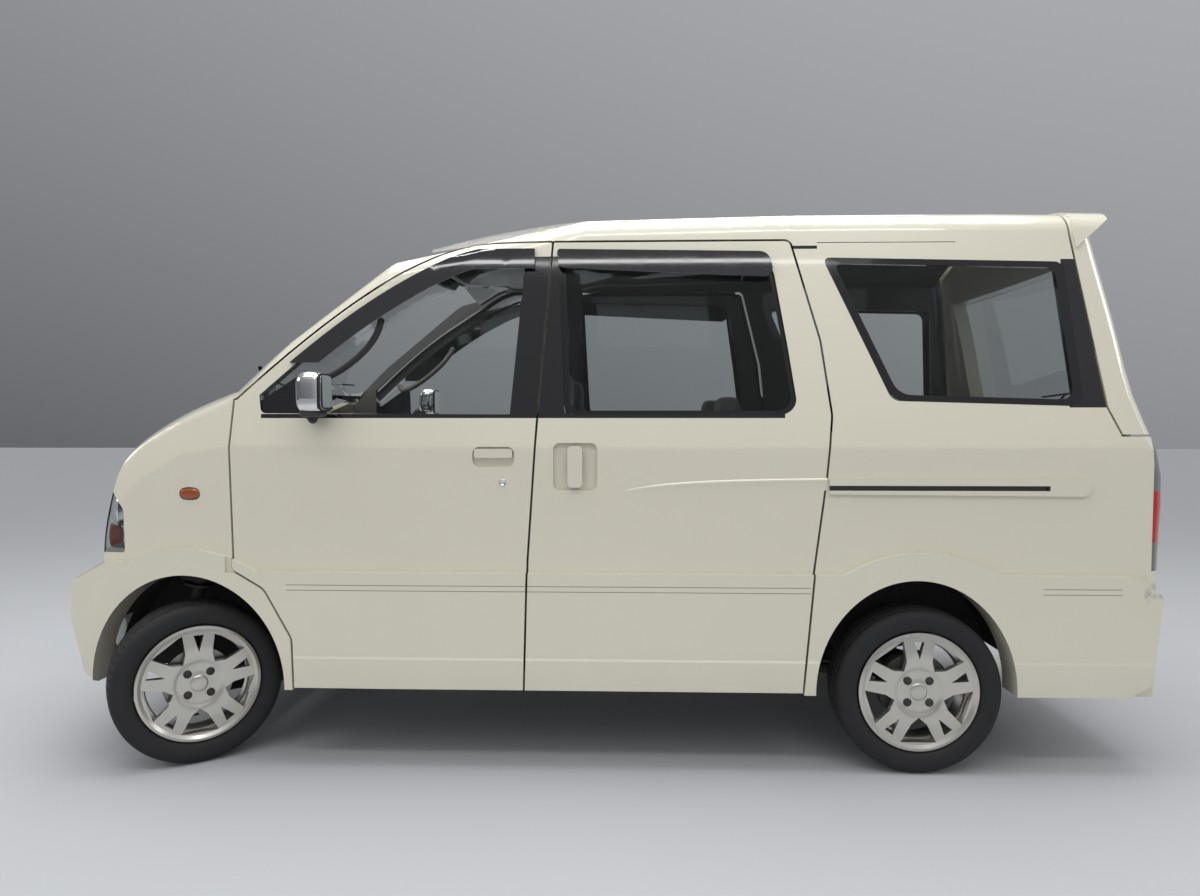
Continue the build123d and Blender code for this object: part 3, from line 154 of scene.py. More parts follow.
# the surface rises with a height signal, on top of the bump that it has already
def addBump(material, height, distance, strength=1.0):
    normal = shaderOf(material).inputs["Normal"]
    inputs = {"Strength": strength, "Distance": distance, "Height": height}
    if normal.is_linked:
        inputs["Normal"] = fedBy(normal)
    bump = addNode(material.node_tree, "Bump", inputs)
    material.node_tree.links.new(bump.outputs["Normal"], normal)


# fine bump from a noise or from cells
def grain(material, scale, strength, distance=0.001, cells=False):
    if cells:
        height = pattern(material, "TexVoronoi", scale)["Distance"]
    else:
        height = pattern(material, "TexNoise", scale, Detail=3.0)["Fac"]
    addBump(material, height, distance, strength)


# soft step at a height: the bump climbs by rise from spread above it to spread below it
def ledge(material, height, spread, rise):
    step = addNode(material.node_tree, "MapRange", {0: objectAxes(material)[2], 1: height - spread,
                   2: height + spread, 3: 1.0, 4: 0.0}, interpolation_type="SMOOTHSTEP")
    addBump(material, step.outputs[0], rise)


# roughness wanders between two values with a soft noise, as fingerprints and dust leave it
def smudges(material, scale, low, high):
    noise = pattern(material, "TexNoise", scale, Detail=5.0)["Fac"]
    spread = addNode(material.node_tree, "MapRange", {0: noise, 1: 0.35, 2: 0.75, 3: low, 4: high})
    material.node_tree.links.new(spread.outputs[0], shaderOf(material).inputs["Roughness"])


# a material with its mottling (scale, amount) and its grain (scale, strength, distance, cells)
def finish(name, color, mottling=None, graining=None, **looks):
    material = newMaterial(name, color, **looks)
    if mottling:
        mottle(material, *mottling)
    if graining:
        grain(material, *graining)
    return material


def glassFinish(name, color):
    return newMaterial(name, color, roughness=0.0, transmission=1.0, ior=1.3)


# spans are (low, high) and boxes (x from, x to, z from, z to), in metres on the body
paint = {
    "cream": (0.70, 0.665, 0.545), "blackFilmAndShade": (0.006, 0.006, 0.007), "trim": (0.075, 0.073, 0.068),
    # the groove colour is painted shade in the fine grooves
    "headlining": (0.13, 0.128, 0.12), "grooveShade": (0.20, 0.19, 0.155),
    "grooves": ((0.5953, 0.5977), (0.6128, 0.6152)), "grooveRuns": ((-0.70, 1.02), (-1.69, -1.44)),
    "skirtStep": {"height": 0.372, "spread": 0.006, "rise": 0.006},
    # the body goes darker grey-brown towards the bottom, below this top
    "lowDarkTop": 0.42, "lowDarkGrowth": 1.2, "lowDarkColor": (0.20, 0.18, 0.15),
    "windowBand": (1.12, 1.75), "windowRun": (-1.62, 1.13), "facing": 0.3, "edgeOn": 0.35,
    "doorFilm": ((0.09, 0.281, 1.166, 1.706), (-0.618, 0.17, 1.164, 1.178), (0.17, 1.11, 1.164, 1.178)),
    "sideFilm": ((-1.75, -1.53, 1.198, 1.688), (-1.19, -0.735, 1.7465, 1.7490), (-0.735, -0.652, 1.7265, 1.7375)),
    "intakeFrom": 1.6, "intakeHalf": 0.36, "intakeBand": (0.335, 0.465),
    "railSlotShade": (0.930, 0.946), "railSlotFrom": -1.46,
    "scuffHeight": 0.60, "scuffFade": 14.0, "scuffFrom": (-1.76, 0.60), "scuffColor": (0.22, 0.21, 0.19),
}
# near black for films, frits and window-edge rubber, and painted shade in the lower opening and in the rail's slot
blackFilmAndShade = paint["blackFilmAndShade"]


# painted shade in the two fine grooves along the doors and quarters, but not over the wheels, and the skirt's step
def grooveShadeAndStep(material):
    x, y, z = objectAxes(material)
    sideways = combine(material, "ABSOLUTE", objectAxes(material, "Normal")[1])
    grooves = union(material, *[between(material, z, *span) for span in paint["grooves"]])
    along = union(material, *[between(material, x, *span) for span in paint["grooveRuns"]])
    mask = overlap(material, grooves, along, above(material, sideways, 0.5))
    # painted shade: the grooves are drawn as a darker line in the paint
    paintOver(material, mask, paint["grooveShade"])
    ledge(material, **paint["skirtStep"])


# the colour turns a faint grey-brown low down: how far below its top, times the growth, times a noise
def lowDarkening(material):
    z = objectAxes(material)[2]
    noise = addNode(material.node_tree, "TexNoise", {"Scale": 9.0}).outputs["Fac"]
    depth = combine(material, "SUBTRACT", paint["lowDarkTop"], z)
    low = combine(material, "MULTIPLY", depth, paint["lowDarkGrowth"])
    mask = combine(material, "MULTIPLY", combine(material, "MAXIMUM", low, 0.0), noise)
    paintOver(material, mask, paint["lowDarkColor"])


def bodyPaint(name, darkenLow=True):
    material = finish(name, paint["cream"], (2.2, 0.025), (260.0, 0.02, 0.0004), roughness=0.32,
                      metallic=0.08, coat=1.0)
    # darker towards the bottom, patchy with noise
    if darkenLow:
        lowDarkening(material)
    return material


# paint outside, trim on the faces that look inwards, and black film in the window edges and in the boxes
def sidePaint(name, side, filmBoxes):
    material = bodyPaint(name)
    x, y, z = objectAxes(material)
    sideways = objectAxes(material, "Normal")[1]
    # painted shade in the grooves, and the skirt's step as a bump
    grooveShadeAndStep(material)
    outwards = combine(material, "MULTIPLY", sideways, side)
    paintOver(material, below(material, outwards, -paint["facing"]), paint["trim"], 0.7)
    edgeOn = below(material, combine(material, "ABSOLUTE", sideways), paint["edgeOn"])
    reveal = overlap(material, edgeOn, between(material, z, *paint["windowBand"]),
                     between(material, x, *paint["windowRun"]))
    outside = above(material, outwards, paint["facing"])
    boxes = [overlap(material, outside, between(material, x, x0, x1), between(material, z, z0, z1))
             for x0, x1, z0, z1 in filmBoxes]
    paintOver(material, union(material, reveal, *boxes), blackFilmAndShade, 0.08)
    return material


# a rubbed patch on the left rear corner: noise that fades out above and below one height
def rearScuff(material):
    x, y, z = objectAxes(material)
    noise = pattern(material, "TexNoise", 34.0, Detail=8.0)["Fac"]
    rubbed = addNode(material.node_tree, "MapRange", {0: noise, 1: 0.50, 2: 0.78}).outputs[0]
    away = combine(material, "ABSOLUTE", combine(material, "SUBTRACT", z, paint["scuffHeight"]))
    fade = combine(material, "MULTIPLY", paint["scuffFade"], away)
    reach = combine(material, "MAXIMUM", combine(material, "SUBTRACT", 1.0, fade), 0.0)
    behind, beside = paint["scuffFrom"]
    mask = overlap(material, rubbed, reach, below(material, x, behind), above(material, y, beside))
    paintOver(material, mask, paint["scuffColor"])


plainPaint = bodyPaint("creamPaint")
roofPaint = bodyPaint("roofPaint", darkenLow=False)
underside = below(roofPaint, objectAxes(roofPaint, "Normal")[2], -paint["facing"])
paintOver(roofPaint, underside, paint["headlining"], 0.9)
bumperPaint = bodyPaint("bumperPaint")
# black over the bumper's skin where the lower opening is: painted shade for the opening's dark inside, behind the
# bars
x, y, z = objectAxes(bumperPaint)
intakeShade = overlap(bumperPaint, above(bumperPaint, x, paint["intakeFrom"]),
                 below(bumperPaint, combine(bumperPaint, "ABSOLUTE", y), paint["intakeHalf"]),
                 between(bumperPaint, z, *paint["intakeBand"]))
paintOver(bumperPaint, intakeShade, blackFilmAndShade, 0.5)
rearPaint = bodyPaint("rearBumperPaint")
ledge(rearPaint, **paint["skirtStep"])
rearScuff(rearPaint)
railPaint = bodyPaint("railPaint", darkenLow=False)
# a black band on the rail cover: painted shade inside the rail's slot
x, y, z = objectAxes(railPaint)
railSlotShade = overlap(railPaint, between(railPaint, z, *paint["railSlotShade"]),
                   above(railPaint, x, paint["railSlotFrom"]))
paintOver(railPaint, railSlotShade, blackFilmAndShade, 0.5)

clearGlass = glassFinish("clearGlass", (0.93, 0.96, 0.95))
screenGlass = glassFinish("screenGlass", (0.93, 0.96, 0.95))
sideGlass = glassFinish("sideGlass", (0.84, 0.87, 0.865))
privacyGlass = glassFinish("privacyGlass", (0.62, 0.645, 0.64))
for pane in (clearGlass, screenGlass, sideGlass, privacyGlass):
    mottle(pane, 3.0, 0.02)
    smudges(pane, 8.0, 0.0, 0.02)
screenBands = {"foot": 1.272, "top": 1.745}  # black below the one, tinted above the other
height = objectAxes(screenGlass)[2]
paintOver(screenGlass, below(screenGlass, height, screenBands["foot"]), (0.004, 0.004, 0.004))
paintOver(screenGlass, above(screenGlass, height, screenBands["top"]), (0.03, 0.045, 0.04))

smokedPlastic = finish("smokedVisor", (0.012, 0.012, 0.014), roughness=0.03, coat=1.0, specular=0.6)
smudges(smokedPlastic, 14.0, 0.015, 0.045)
blackGloss = finish("blackGloss", blackFilmAndShade, roughness=0.07, coat=0.5)
smudges(blackGloss, 20.0, 0.05, 0.16)
rubber = finish("blackRubber", (0.016, 0.016, 0.017), None, (420.0, 0.25), roughness=0.62)
tyreRubber = finish("tyreRubber", (0.013, 0.013, 0.014), (18.0, 0.3), (300.0, 0.2), roughness=0.7)
grainedPlastic = finish("grainedPlastic", (0.035, 0.035, 0.037), None, (600.0, 0.5, 0.001, True), roughness=0.58)
cabinPlastic = finish("cabinPlastic", (0.10, 0.097, 0.09), None, (500.0, 0.4, 0.001, True), roughness=0.6)
linerPlastic = finish("linerPlastic", (0.018, 0.018, 0.018), (12.0, 0.4), (80.0, 0.3, 0.003), roughness=0.85)
leather = finish("rimLeather", (0.03, 0.03, 0.032), None, (380.0, 0.4, 0.001, True), roughness=0.45)
cloth = finish("wovenCloth", (0.10, 0.098, 0.095), (240.0, 0.25), (900.0, 0.6), roughness=0.9, sheen=0.3)
chrome = finish("brightChrome", (0.86, 0.86, 0.87), (6.0, 0.03), roughness=0.05, metallic=1.0)
alloy = finish("lacqueredAlloy", (0.62, 0.60, 0.55), (30.0, 0.06), (900.0, 0.05, 0.0003), roughness=0.28,
               metallic=0.85, coat=0.6)
darkSteel = finish("coatedSteel", (0.05, 0.048, 0.045), (9.0, 0.5), (60.0, 0.3, 0.002), roughness=0.6,
                   metallic=0.4)
castIron = finish("castIron", (0.12, 0.115, 0.11), (14.0, 0.4), (140.0, 0.5, 0.002), roughness=0.65,
                  metallic=0.7)
discSteel = finish("discSteel", (0.32, 0.31, 0.30), (26.0, 0.25), roughness=0.35, metallic=1.0)
reflector = finish("lampReflector", (0.72, 0.73, 0.74), (22.0, 0.12), (90.0, 0.5, 0.002, True), roughness=0.24,
                   metallic=0.85)
amber = finish("amberLens", (0.30, 0.055, 0.008), None, (300.0, 0.4, 0.001, True), roughness=0.1, coat=1.0)
lampClear = glassFinish("lampClear", (0.93, 0.95, 0.96))
lampRed = finish("lampRed", (0.45, 0.008, 0.012), None, (130.0, 0.25, 0.002, True), roughness=0.06, coat=1.0)
redBand = {"bottom": 0.765, "top": 0.93}  # grey lens below and above it
height = objectAxes(lampRed)[2]
greyLens = union(lampRed, above(lampRed, height, redBand["top"]), below(lampRed, height, redBand["bottom"]))
paintOver(lampRed, greyLens, (0.16, 0.15, 0.15), 0.08)

finishOf = {
    "roof_panel": roofPaint, "front_bumper": bumperPaint, "rear_bumper": rearPaint, "slide_rails": railPaint,
    "headlamps": lampClear, "tail_lamps": lampRed, "windscreen": screenGlass, "sliding_glass": sideGlass,
    "quarter_glass": sideGlass, "tailgate_glass": privacyGlass, "sliding_visors": smokedPlastic,
    "dashboard": grainedPlastic, "steering_wheel": leather, "engine_block": castIron,
    **dict.fromkeys(("front_fenders", "bonnet", "grille", "tailgate", "roof_spoiler"), plainPaint),
    **dict.fromkeys(("fuel_tank", "floor_pan", "wheel_housings"), linerPlastic),
    **dict.fromkeys(("exhaust", "propeller_shaft", "rear_axle", "front_crossmember"), darkSteel),
}
for side, tag in sides:
    finishOf[f"front_door_{tag}"] = sidePaint(f"{tag}FrontDoorPaint", side, paint["doorFilm"])
    finishOf[f"sliding_door_{tag}"] = sidePaint(f"{tag}SlidingDoorPaint", side, paint["doorFilm"])
    finishOf[f"body_side_{tag}"] = sidePaint(f"{tag}SidePaint", side, paint["sideFilm"])
    finishOf[f"door_glass_{tag}"] = clearGlass
    finishOf[f"door_visor_{tag}"] = smokedPlastic
    finishOf[f"knuckle_{tag}"] = darkSteel
    finishOf[f"brake_front_{tag}"] = discSteel
    finishOf[f"brake_rear_{tag}"] = castIron
    finishOf[f"wheel_front_{tag}"] = finishOf[f"wheel_rear_{tag}"] = alloy
for name, material in finishOf.items():
    nodes[name].data.materials.clear()
    nodes[name].data.materials.append(material)


def smoothFaces(mesh):
    mesh.polygons.foreach_set("use_smooth", np.ones(len(mesh.polygons), bool))


def splitEdges(piece, degrees):
    piece.modifiers.new("edges", "EDGE_SPLIT").split_angle = radians(degrees)


# CAD nodes come as loose flat triangles, so they are welded and shaded smooth between their sharp edges
nodeShading = {"weld": 0.00002, "sharpAngle": 24}
for node in nodes.values():
    if "custom_normal" in node.data.attributes:
        node.data.attributes.remove(node.data.attributes["custom_normal"])
    smoothFaces(node.data)
    node.modifiers.new("weld", "WELD").merge_threshold = nodeShading["weld"]
    splitEdges(node, nodeShading["sharpAngle"])
    node.modifiers.new("normals", "WEIGHTED_NORMAL").keep_sharp = True
print("stage: CAD nodes finished")


# piece from a grid of points (rows, columns, 3), each cell one face; a wrapped side joins its last row to its
# first, and merging closes the poles and turns the faces outwards
def gridPiece(name, points, material, body="car_body", wrapAround=False, wrapAcross=False, merge=False):
    rows, columns = points.shape[:2]
    i, j = np.meshgrid(np.arange(rows if wrapAround else rows - 1),
                       np.arange(columns if wrapAcross else columns - 1), indexing="ij")
    nextRow, nextColumn = (i + 1) % rows, (j + 1) % columns
    faces = np.stack((i * columns + j, nextRow * columns + j, nextRow * columns + nextColumn,
                      i * columns + nextColumn), -1)
    mesh = bpy.data.meshes.new(name)
    mesh.from_pydata(points.reshape(-1, 3).tolist(), [], faces.reshape(-1, 4).tolist())
    if merge:
        shape = bmesh.new()
        shape.from_mesh(mesh)
        bmesh.ops.remove_doubles(shape, verts=shape.verts, dist=0.00001)
        bmesh.ops.recalc_face_normals(shape, faces=shape.faces)
        shape.to_mesh(mesh)
        shape.free()
    smoothFaces(mesh)
    mesh.materials.append(material)
    piece = bpy.data.objects.new(name, mesh)
    bpy.context.scene.collection.objects.link(piece)
    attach(piece, body)
    return piece


# two directions square to an axis, and the axis itself, each of length 1
def squareTo(axis):
    axis = np.array(axis, float) / np.linalg.norm(axis)
    up = np.array([0, 0, 1.0]) if abs(axis[2]) < 0.9 else np.array([1.0, 0, 0])
    first = np.cross(up, axis)
    first /= np.linalg.norm(first)
    return first, np.cross(axis, first), axis


# profile carried round an axis: the centre, plus the radius times cosine and sine of the turn on the two
# square directions, plus the distance along the axis
def turned(name, centre, axis, radius, along, material, body="car_body", around=64):
    first, second, axis = squareTo(axis)
    angle = np.linspace(0, 2 * pi, around, endpoint=False)[:, None, None]
    radius = np.asarray(radius, float)[None, :, None]
    along = np.asarray(along, float)[None, :, None]
    points = np.array(centre, float) + radius * (np.cos(angle) * first + np.sin(angle) * second) + along * axis
    return gridPiece(name, points, material, body, wrapAround=True, merge=True)


# one object from several, on the first one's body
def joinPieces(name, pieces):
    target = pieces[0]
    with bpy.context.temp_override(active_object=target, selected_editable_objects=pieces, object=target,
                                   selected_objects=pieces):
        bpy.ops.object.join()
    target.name = name
    return target


# superellipsoid: half the size times cosines and sines of two angles, each raised to 2 / power, which rounds
# a box the less the higher the power
def blockShape(centre, size, power, count):
    turn = np.linspace(-pi, pi, 2 * count, endpoint=False)[:, None]
    tilt = np.linspace(-pi / 2, pi / 2, count)[None, :]
    bend = lambda value: np.sign(value) * np.abs(value) ** (2 / power)
    unit = np.stack((bend(np.cos(tilt)) * bend(np.cos(turn)), bend(np.cos(tilt)) * bend(np.sin(turn)),
                     bend(np.sin(tilt)) * np.ones_like(turn)), -1)
    return unit * np.asarray(size) / 2 + np.asarray(centre)


# a grid whose rows go all the way round and whose first and last columns are poles
def closedPiece(name, points, material, body="car_body"):
    return gridPiece(name, points, material, body, wrapAround=True, merge=True)


def blockPiece(name, centre, size, power, count, material, body="car_body"):
    return closedPiece(name, blockShape(centre, size, power, count), material, body)


# points turned about a line across the car through the pivot
def leaned(points, pivot, angle):
    offset = points - pivot
    c, s = cos(angle), sin(angle)
    ahead, across, up = offset[..., 0], offset[..., 1], offset[..., 2]
    return np.stack((c * ahead + s * up, across, -s * ahead + c * up), -1) + pivot


# every vertex of a CAD node, in metres
def vertexPlaces(node):
    mesh = nodes[node].data
    places = np.empty(len(mesh.vertices) * 3)
    mesh.vertices.foreach_get("co", places)
    return places.reshape(-1, 3)


# centre of a wheel and its axle's outward direction
def axleOf(end, tag):
    joint = joints[f"{end}_{tag}_spin"]
    centre, axis = np.array(joint["pos_m"]), np.array(joint["axis"], float)
    return centre, axis * np.sign(axis[1] * centre[1])


# the wall runs from the bead to the shoulder as (radius, distance from the middle)
tyreSettings = {
    "around": 360, "blocks": 60, "bead": 0.1965,
    "wall": ((0.1965, 0.052), (0.1975, 0.062), (0.203, 0.070), (0.212, 0.0765), (0.226, 0.0805),
             (0.238, 0.0815), (0.248, 0.0800), (0.2565, 0.0765), (0.2625, 0.0715), (0.2665, 0.0650)),
    "treadHalf": 0.0635, "treadPoints": 61, "crownDrop": 0.0032, "crownHalf": 0.066, "treadFrom": 0.25,
    "grooveDepth": 0.006, "grooveWidth": 0.0032, "grooves": (-0.040, -0.0135, 0.0135, 0.040),
    "slant": 78, "sipeFrom": 0.044, "sipeNear": 0.86, "sipeDepth": 0.8,
    "innerSipes": (0.017, 0.036), "innerTurn": 1.5, "innerNear": 0.93, "innerDepth": 0.5, "sharpAngle": 40,
    "wallRibs": ((0.2135, 0.0012), (0.2475, 0.0010)), "wallRibHeight": 0.0007,
}


# the section carried round the axle; the tread sinks in grooves, exp(-((distance to the groove) / width)^4),
# and in slanted sipes where the cosine of the turn times the blocks plus the slant is near 1; thin ribs
# stand on the walls
def makeTyre(end, tag):
    s = tyreSettings
    name, body = f"tyre_{end}_{tag}", f"wheel_{end}_{tag}_body"
    centre, axis = axleOf(end, tag)
    low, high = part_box(name)
    outer = (high[2] - low[2]) / 2
    tread = np.linspace(s["treadHalf"], -s["treadHalf"], s["treadPoints"])
    treadRadius = outer - s["crownDrop"] * np.abs(tread / s["crownHalf"]) ** 3
    wall = np.array(s["wall"])
    section = np.vstack((wall, np.stack((treadRadius, tread), 1), wall[::-1] * (1, -1), ((s["bead"], 0.0),)))
    turn = np.linspace(0, 2 * pi, s["around"], endpoint=False)[:, None]
    radius = np.repeat(section[None, :, 0], s["around"], 0)
    across = np.repeat(section[None, :, 1], s["around"], 0)
    outward = np.abs(across)
    onTread = (outward < s["treadHalf"] + 0.0001) & (radius > s["treadFrom"])
    rings = sum(np.exp(-((across - place) / s["grooveWidth"]) ** 4) for place in s["grooves"])
    slanted = turn * s["blocks"] + s["slant"] * outward
    sipes = (np.cos(slanted) > s["sipeNear"]) & (outward > s["sipeFrom"])
    innerLow, innerHigh = s["innerSipes"]
    inner = (np.cos(slanted + s["innerTurn"]) > s["innerNear"]) & (outward < innerHigh) & (outward > innerLow)
    cut = np.clip(rings + s["sipeDepth"] * sipes + s["innerDepth"] * inner, 0, 1) * onTread
    radius = radius - s["grooveDepth"] * cut
    ribs = sum(np.exp(-((radius - place) / width) ** 2) for place, width in s["wallRibs"])
    across = across + np.sign(across) * s["wallRibHeight"] * ribs * ~onTread
    first, second, axis = squareTo(axis)
    points = centre + radius[..., None] * (np.cos(turn)[..., None] * first + np.sin(turn)[..., None] * second) \
        + across[..., None] * axis
    piece = gridPiece(f"{name}_tread", points, tyreRubber, body, wrapAround=True, wrapAcross=True)
    piece.data.flip_normals()
    splitEdges(piece, s["sharpAngle"])
    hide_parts(name)


# profiles are radius against distance out along the axle
nutSettings = {
    "count": 4, "circle": 0.050, "firstAngle": 45, "seat": (0.036, 0.066), "lift": 0.0006, "around": 24,
    "radius": (0, 0.0135, 0.0135, 0.0105, 0.0088, 0.0088, 0.0070, 0),
    "along": (-0.004, -0.004, 0.0006, 0.0002, 0.0002, 0.0030, 0.0042, 0.0044),
}
capSettings = {
    "radius": (0, 0.027, 0.029, 0.028, 0.022, 0.012, 0),
    "along": (0.058, 0.058, 0.062, 0.0655, 0.0675, 0.0685, 0.0688),
}


# nuts stand on the wheel's own face, found between two distances from the axle; the centre cap is plain
def makeNutsAndCap(end, tag):
    s, body = nutSettings, f"wheel_{end}_{tag}_body"
    centre, axis = axleOf(end, tag)
    metal = vertexPlaces(f"wheel_{end}_{tag}") - centre
    first, second, axis = squareTo(axis)
    fromAxle = np.linalg.norm(metal - np.outer(metal @ axis, axis), axis=1)
    onSeat = (fromAxle > s["seat"][0]) & (fromAxle < s["seat"][1])
    face = float((metal @ axis)[onSeat].max()) + s["lift"]
    angles = radians(s["firstAngle"]) + np.arange(s["count"]) * 2 * pi / s["count"]
    nuts = [turned(f"nut_{end}_{tag}_{k}", centre + s["circle"] * (cos(a) * first + sin(a) * second) + axis * face,
                   axis, s["radius"], s["along"], darkSteel, body, around=s["around"])
            for k, a in enumerate(angles)]
    cap = turned(f"cap_{end}_{tag}", centre, axis, capSettings["radius"], capSettings["along"], alloy, body)
    joinPieces(f"wheel_nuts_{end}_{tag}", nuts)


for end in ("front", "rear"):
    for side, tag in sides:
        makeTyre(end, tag)
        makeNutsAndCap(end, tag)
print("stage: tyres")

# every row has the same pads, in metres from its seat's place and floor; a share is of the seat's width
padSettings = {
    "power": 4.5, "count": 40, "crown": 0.012, "lean": -17, "leanUp": 0.14,
    "channelSpacing": 0.12, "channelWidth": 0.007, "channelDepth": 0.006,
    "cushionAhead": 0.19, "cushionUp": 0.150, "cushionLong": 0.47, "cushionShare": 0.985, "cushionThick": 0.135,
    "cushionEdge": 0.06, "backUp": 0.12, "backShorter": 0.10, "backShare": 0.96, "backThick": 0.115,
    "backEdge": 0.05, "headBehind": 0.165, "headUp": 0.09, "head": (0.085, 0.245, 0.145), "headPower": 3.6,
    "postBehind": 0.158, "postDown": 0.03, "postOut": 0.055, "postRadius": 0.006, "postLong": 0.09,
    "baseAhead": 0.16, "baseUp": 0.055, "baseLong": 0.34, "baseNarrower": 0.14, "baseThick": 0.085, "basePower": 9,
}
seatSettings = {
    "front": {"x": 0.3025, "y": 0.335, "width": 0.50, "floor": 0.545, "back": 0.62, "heads": 1, "sides": (1, -1),
              "node": "front_seats"},
    "second": {"x": -0.3125, "y": 0.0, "width": 1.18, "floor": 0.460, "back": 0.62, "heads": 2, "sides": (1,),
               "node": "second_row_seat"},
    "third": {"x": -1.1575, "y": 0.242, "width": 0.44, "floor": 0.520, "back": 0.56, "heads": 1, "sides": (1, -1),
              "node": "third_row_seats"},
}


# sewn channels an even distance apart: depth times exp(-((distance to the nearest one) / width)^2)
def channels(across):
    half = padSettings["channelSpacing"] / 2
    toNearest = np.mod(across + half, padSettings["channelSpacing"]) - half
    return padSettings["channelDepth"] * np.exp(-(toNearest / padSettings["channelWidth"]) ** 2)


# rounded blocks: the cushion's top is crowned by a cosine across, and the back leans about its foot
def seatRow(row, s):
    pad, pieces = padSettings, []
    power, count = pad["power"], pad["count"]
    post = (0, pad["postRadius"], pad["postRadius"], 0), (0, 0, pad["postLong"], pad["postLong"])
    for side in s["sides"]:
        x, y, z, width = s["x"], s["y"] * side, s["floor"], s["width"]
        cushion = blockShape((x + pad["cushionAhead"], y, z + pad["cushionUp"]),
                             (pad["cushionLong"], width * pad["cushionShare"], pad["cushionThick"]), power, count)
        top = np.clip((cushion[..., 2] - z - pad["cushionUp"]) / pad["cushionEdge"], 0, 1)
        cushion[..., 2] += pad["crown"] * top * np.cos((cushion[..., 1] - y) / width * pi)
        cushion[..., 2] -= top * channels(cushion[..., 1] - y)
        pieces.append(closedPiece(f"{row}_cushion_{side}", cushion, cloth))
        tall = s["back"] - pad["backShorter"]
        back = blockShape((x, y, z + pad["backUp"] + tall / 2), (pad["backThick"], width * pad["backShare"], tall),
                          power, count)
        front = np.clip((back[..., 0] - x) / pad["backEdge"], 0, 1)
        back[..., 0] -= front * channels(back[..., 1] - y)
        back = leaned(back, np.array([x, y, z + pad["leanUp"]]), radians(pad["lean"]))
        pieces.append(closedPiece(f"{row}_back_{side}", back, cloth))
        for k in range(s["heads"]):
            headY = y + width / s["heads"] * (k - (s["heads"] - 1) / 2)
            headPlace = (x - pad["headBehind"], headY, z + s["back"] + pad["headUp"])
            pieces.append(blockPiece(f"{row}_head_{side}_{k}", headPlace, pad["head"], pad["headPower"], 28,
                                     cloth))
            for out in (-pad["postOut"], pad["postOut"]):
                foot = (x - pad["postBehind"], headY + out, z + s["back"] - pad["postDown"])
                pieces.append(turned(f"{row}_post_{side}_{k}", foot, (0, 0, 1), *post, chrome, around=16))
        pieces.append(blockPiece(f"{row}_base_{side}", (x + pad["baseAhead"], y, z + pad["baseUp"]),
                                 (pad["baseLong"], width - pad["baseNarrower"], pad["baseThick"]),
                                 pad["basePower"], 20, grainedPlastic))
    whole = joinPieces(f"{row}_row_pads", pieces)
    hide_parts(s["node"])


for row, settings in seatSettings.items():
    seatRow(row, settings)
print("stage: seats")


# smooth sheet through a node's outermost vertices: least squares six times over, each time leaving out what
# lies deeper than the slack
def outerSheet(terms, across, along, depth, sign, slack):
    keep = np.ones(len(depth), bool)
    for _ in range(6):
        weight = np.linalg.lstsq(terms(across[keep], along[keep]), depth[keep], rcond=None)[0]
        keep = sign * (depth - terms(across, along) @ weight) > -slack
    return lambda a, b: terms(np.asarray(a, float), np.asarray(b, float)) @ weight


# y of the body's left side in 1, x, z, x^2, xz, z^2, z^3 and x^3
def sideFit(node):
    places = np.unique(vertexPlaces(node).round(5), axis=0)
    places = places[places[:, 1] > 0]
    terms = lambda x, z: np.stack((np.ones_like(x), x, z, x * x, x * z, z * z, z ** 3, x ** 3), -1)
    return outerSheet(terms, places[:, 0], places[:, 2], places[:, 1], 1, 0.0012)


# x of a screen between two heights in 1, y^2, z, zy^2, z^2 and y^4
def screenFit(node, sign, lowZ, highZ):
    places = np.unique(vertexPlaces(node).round(5), axis=0)
    places = places[(places[:, 2] > lowZ) & (places[:, 2] < highZ)]
    terms = lambda y, z: np.stack((np.ones_like(y), y ** 2, z, z * y ** 2, z * z, y ** 4), -1)
    return outerSheet(terms, places[:, 1], places[:, 2], places[:, 0], sign, 0.0015)


# closed path round a polygon: each corner is cut back by its radius and bridged by a quadratic curve
def roundedOutline(corners, radii, perCorner=10):
    corners = np.array(corners, float)
    before, after = np.roll(corners, 1, 0) - corners, np.roll(corners, -1, 0) - corners
    cut = np.array(radii)[:, None]
    start = corners + before / np.linalg.norm(before, axis=1)[:, None] * cut
    stop = corners + after / np.linalg.norm(after, axis=1)[:, None] * cut
    t = np.linspace(0, 1, perCorner)[None, :, None]
    path = (1 - t) ** 2 * start[:, None] + 2 * t * (1 - t) * corners[:, None] + t ** 2 * stop[:, None]
    return path.reshape(-1, 2)


# flat trim on the body side: the outline, drawn in towards its middle by the border's width or right across
# where there is no width, at the side's depth and at that plus the thickness
def sideTrim(name, s, fit, body, side):
    outer = roundedOutline(s["corners"], s["radii"])
    middle = outer.mean(0)
    if s["border"]:
        size = np.linalg.norm(outer - middle, axis=1).mean()
        steps = np.array([1.0, 1 - s["border"] * 0.5 / size, 1 - s["border"] / size])
    else:
        steps = np.array([1.0, 0.9, 0.6, 0.3, 0.02])
    rings = middle + (outer[:, None] - middle) * steps[None, :, None]
    depth = fit(rings[..., 0], rings[..., 1])
    top = np.stack((rings[..., 0], depth + s["thickness"], rings[..., 1]), -1)
    under = np.stack((rings[..., 0], depth, rings[..., 1]), -1)
    loop = np.concatenate((top, under[:, ::-1]), 1)
    loop[..., 1] *= side
    piece = gridPiece(name, loop, blackGloss, body, wrapAround=True, wrapAcross=True, merge=True)
    splitEdges(piece, 30)


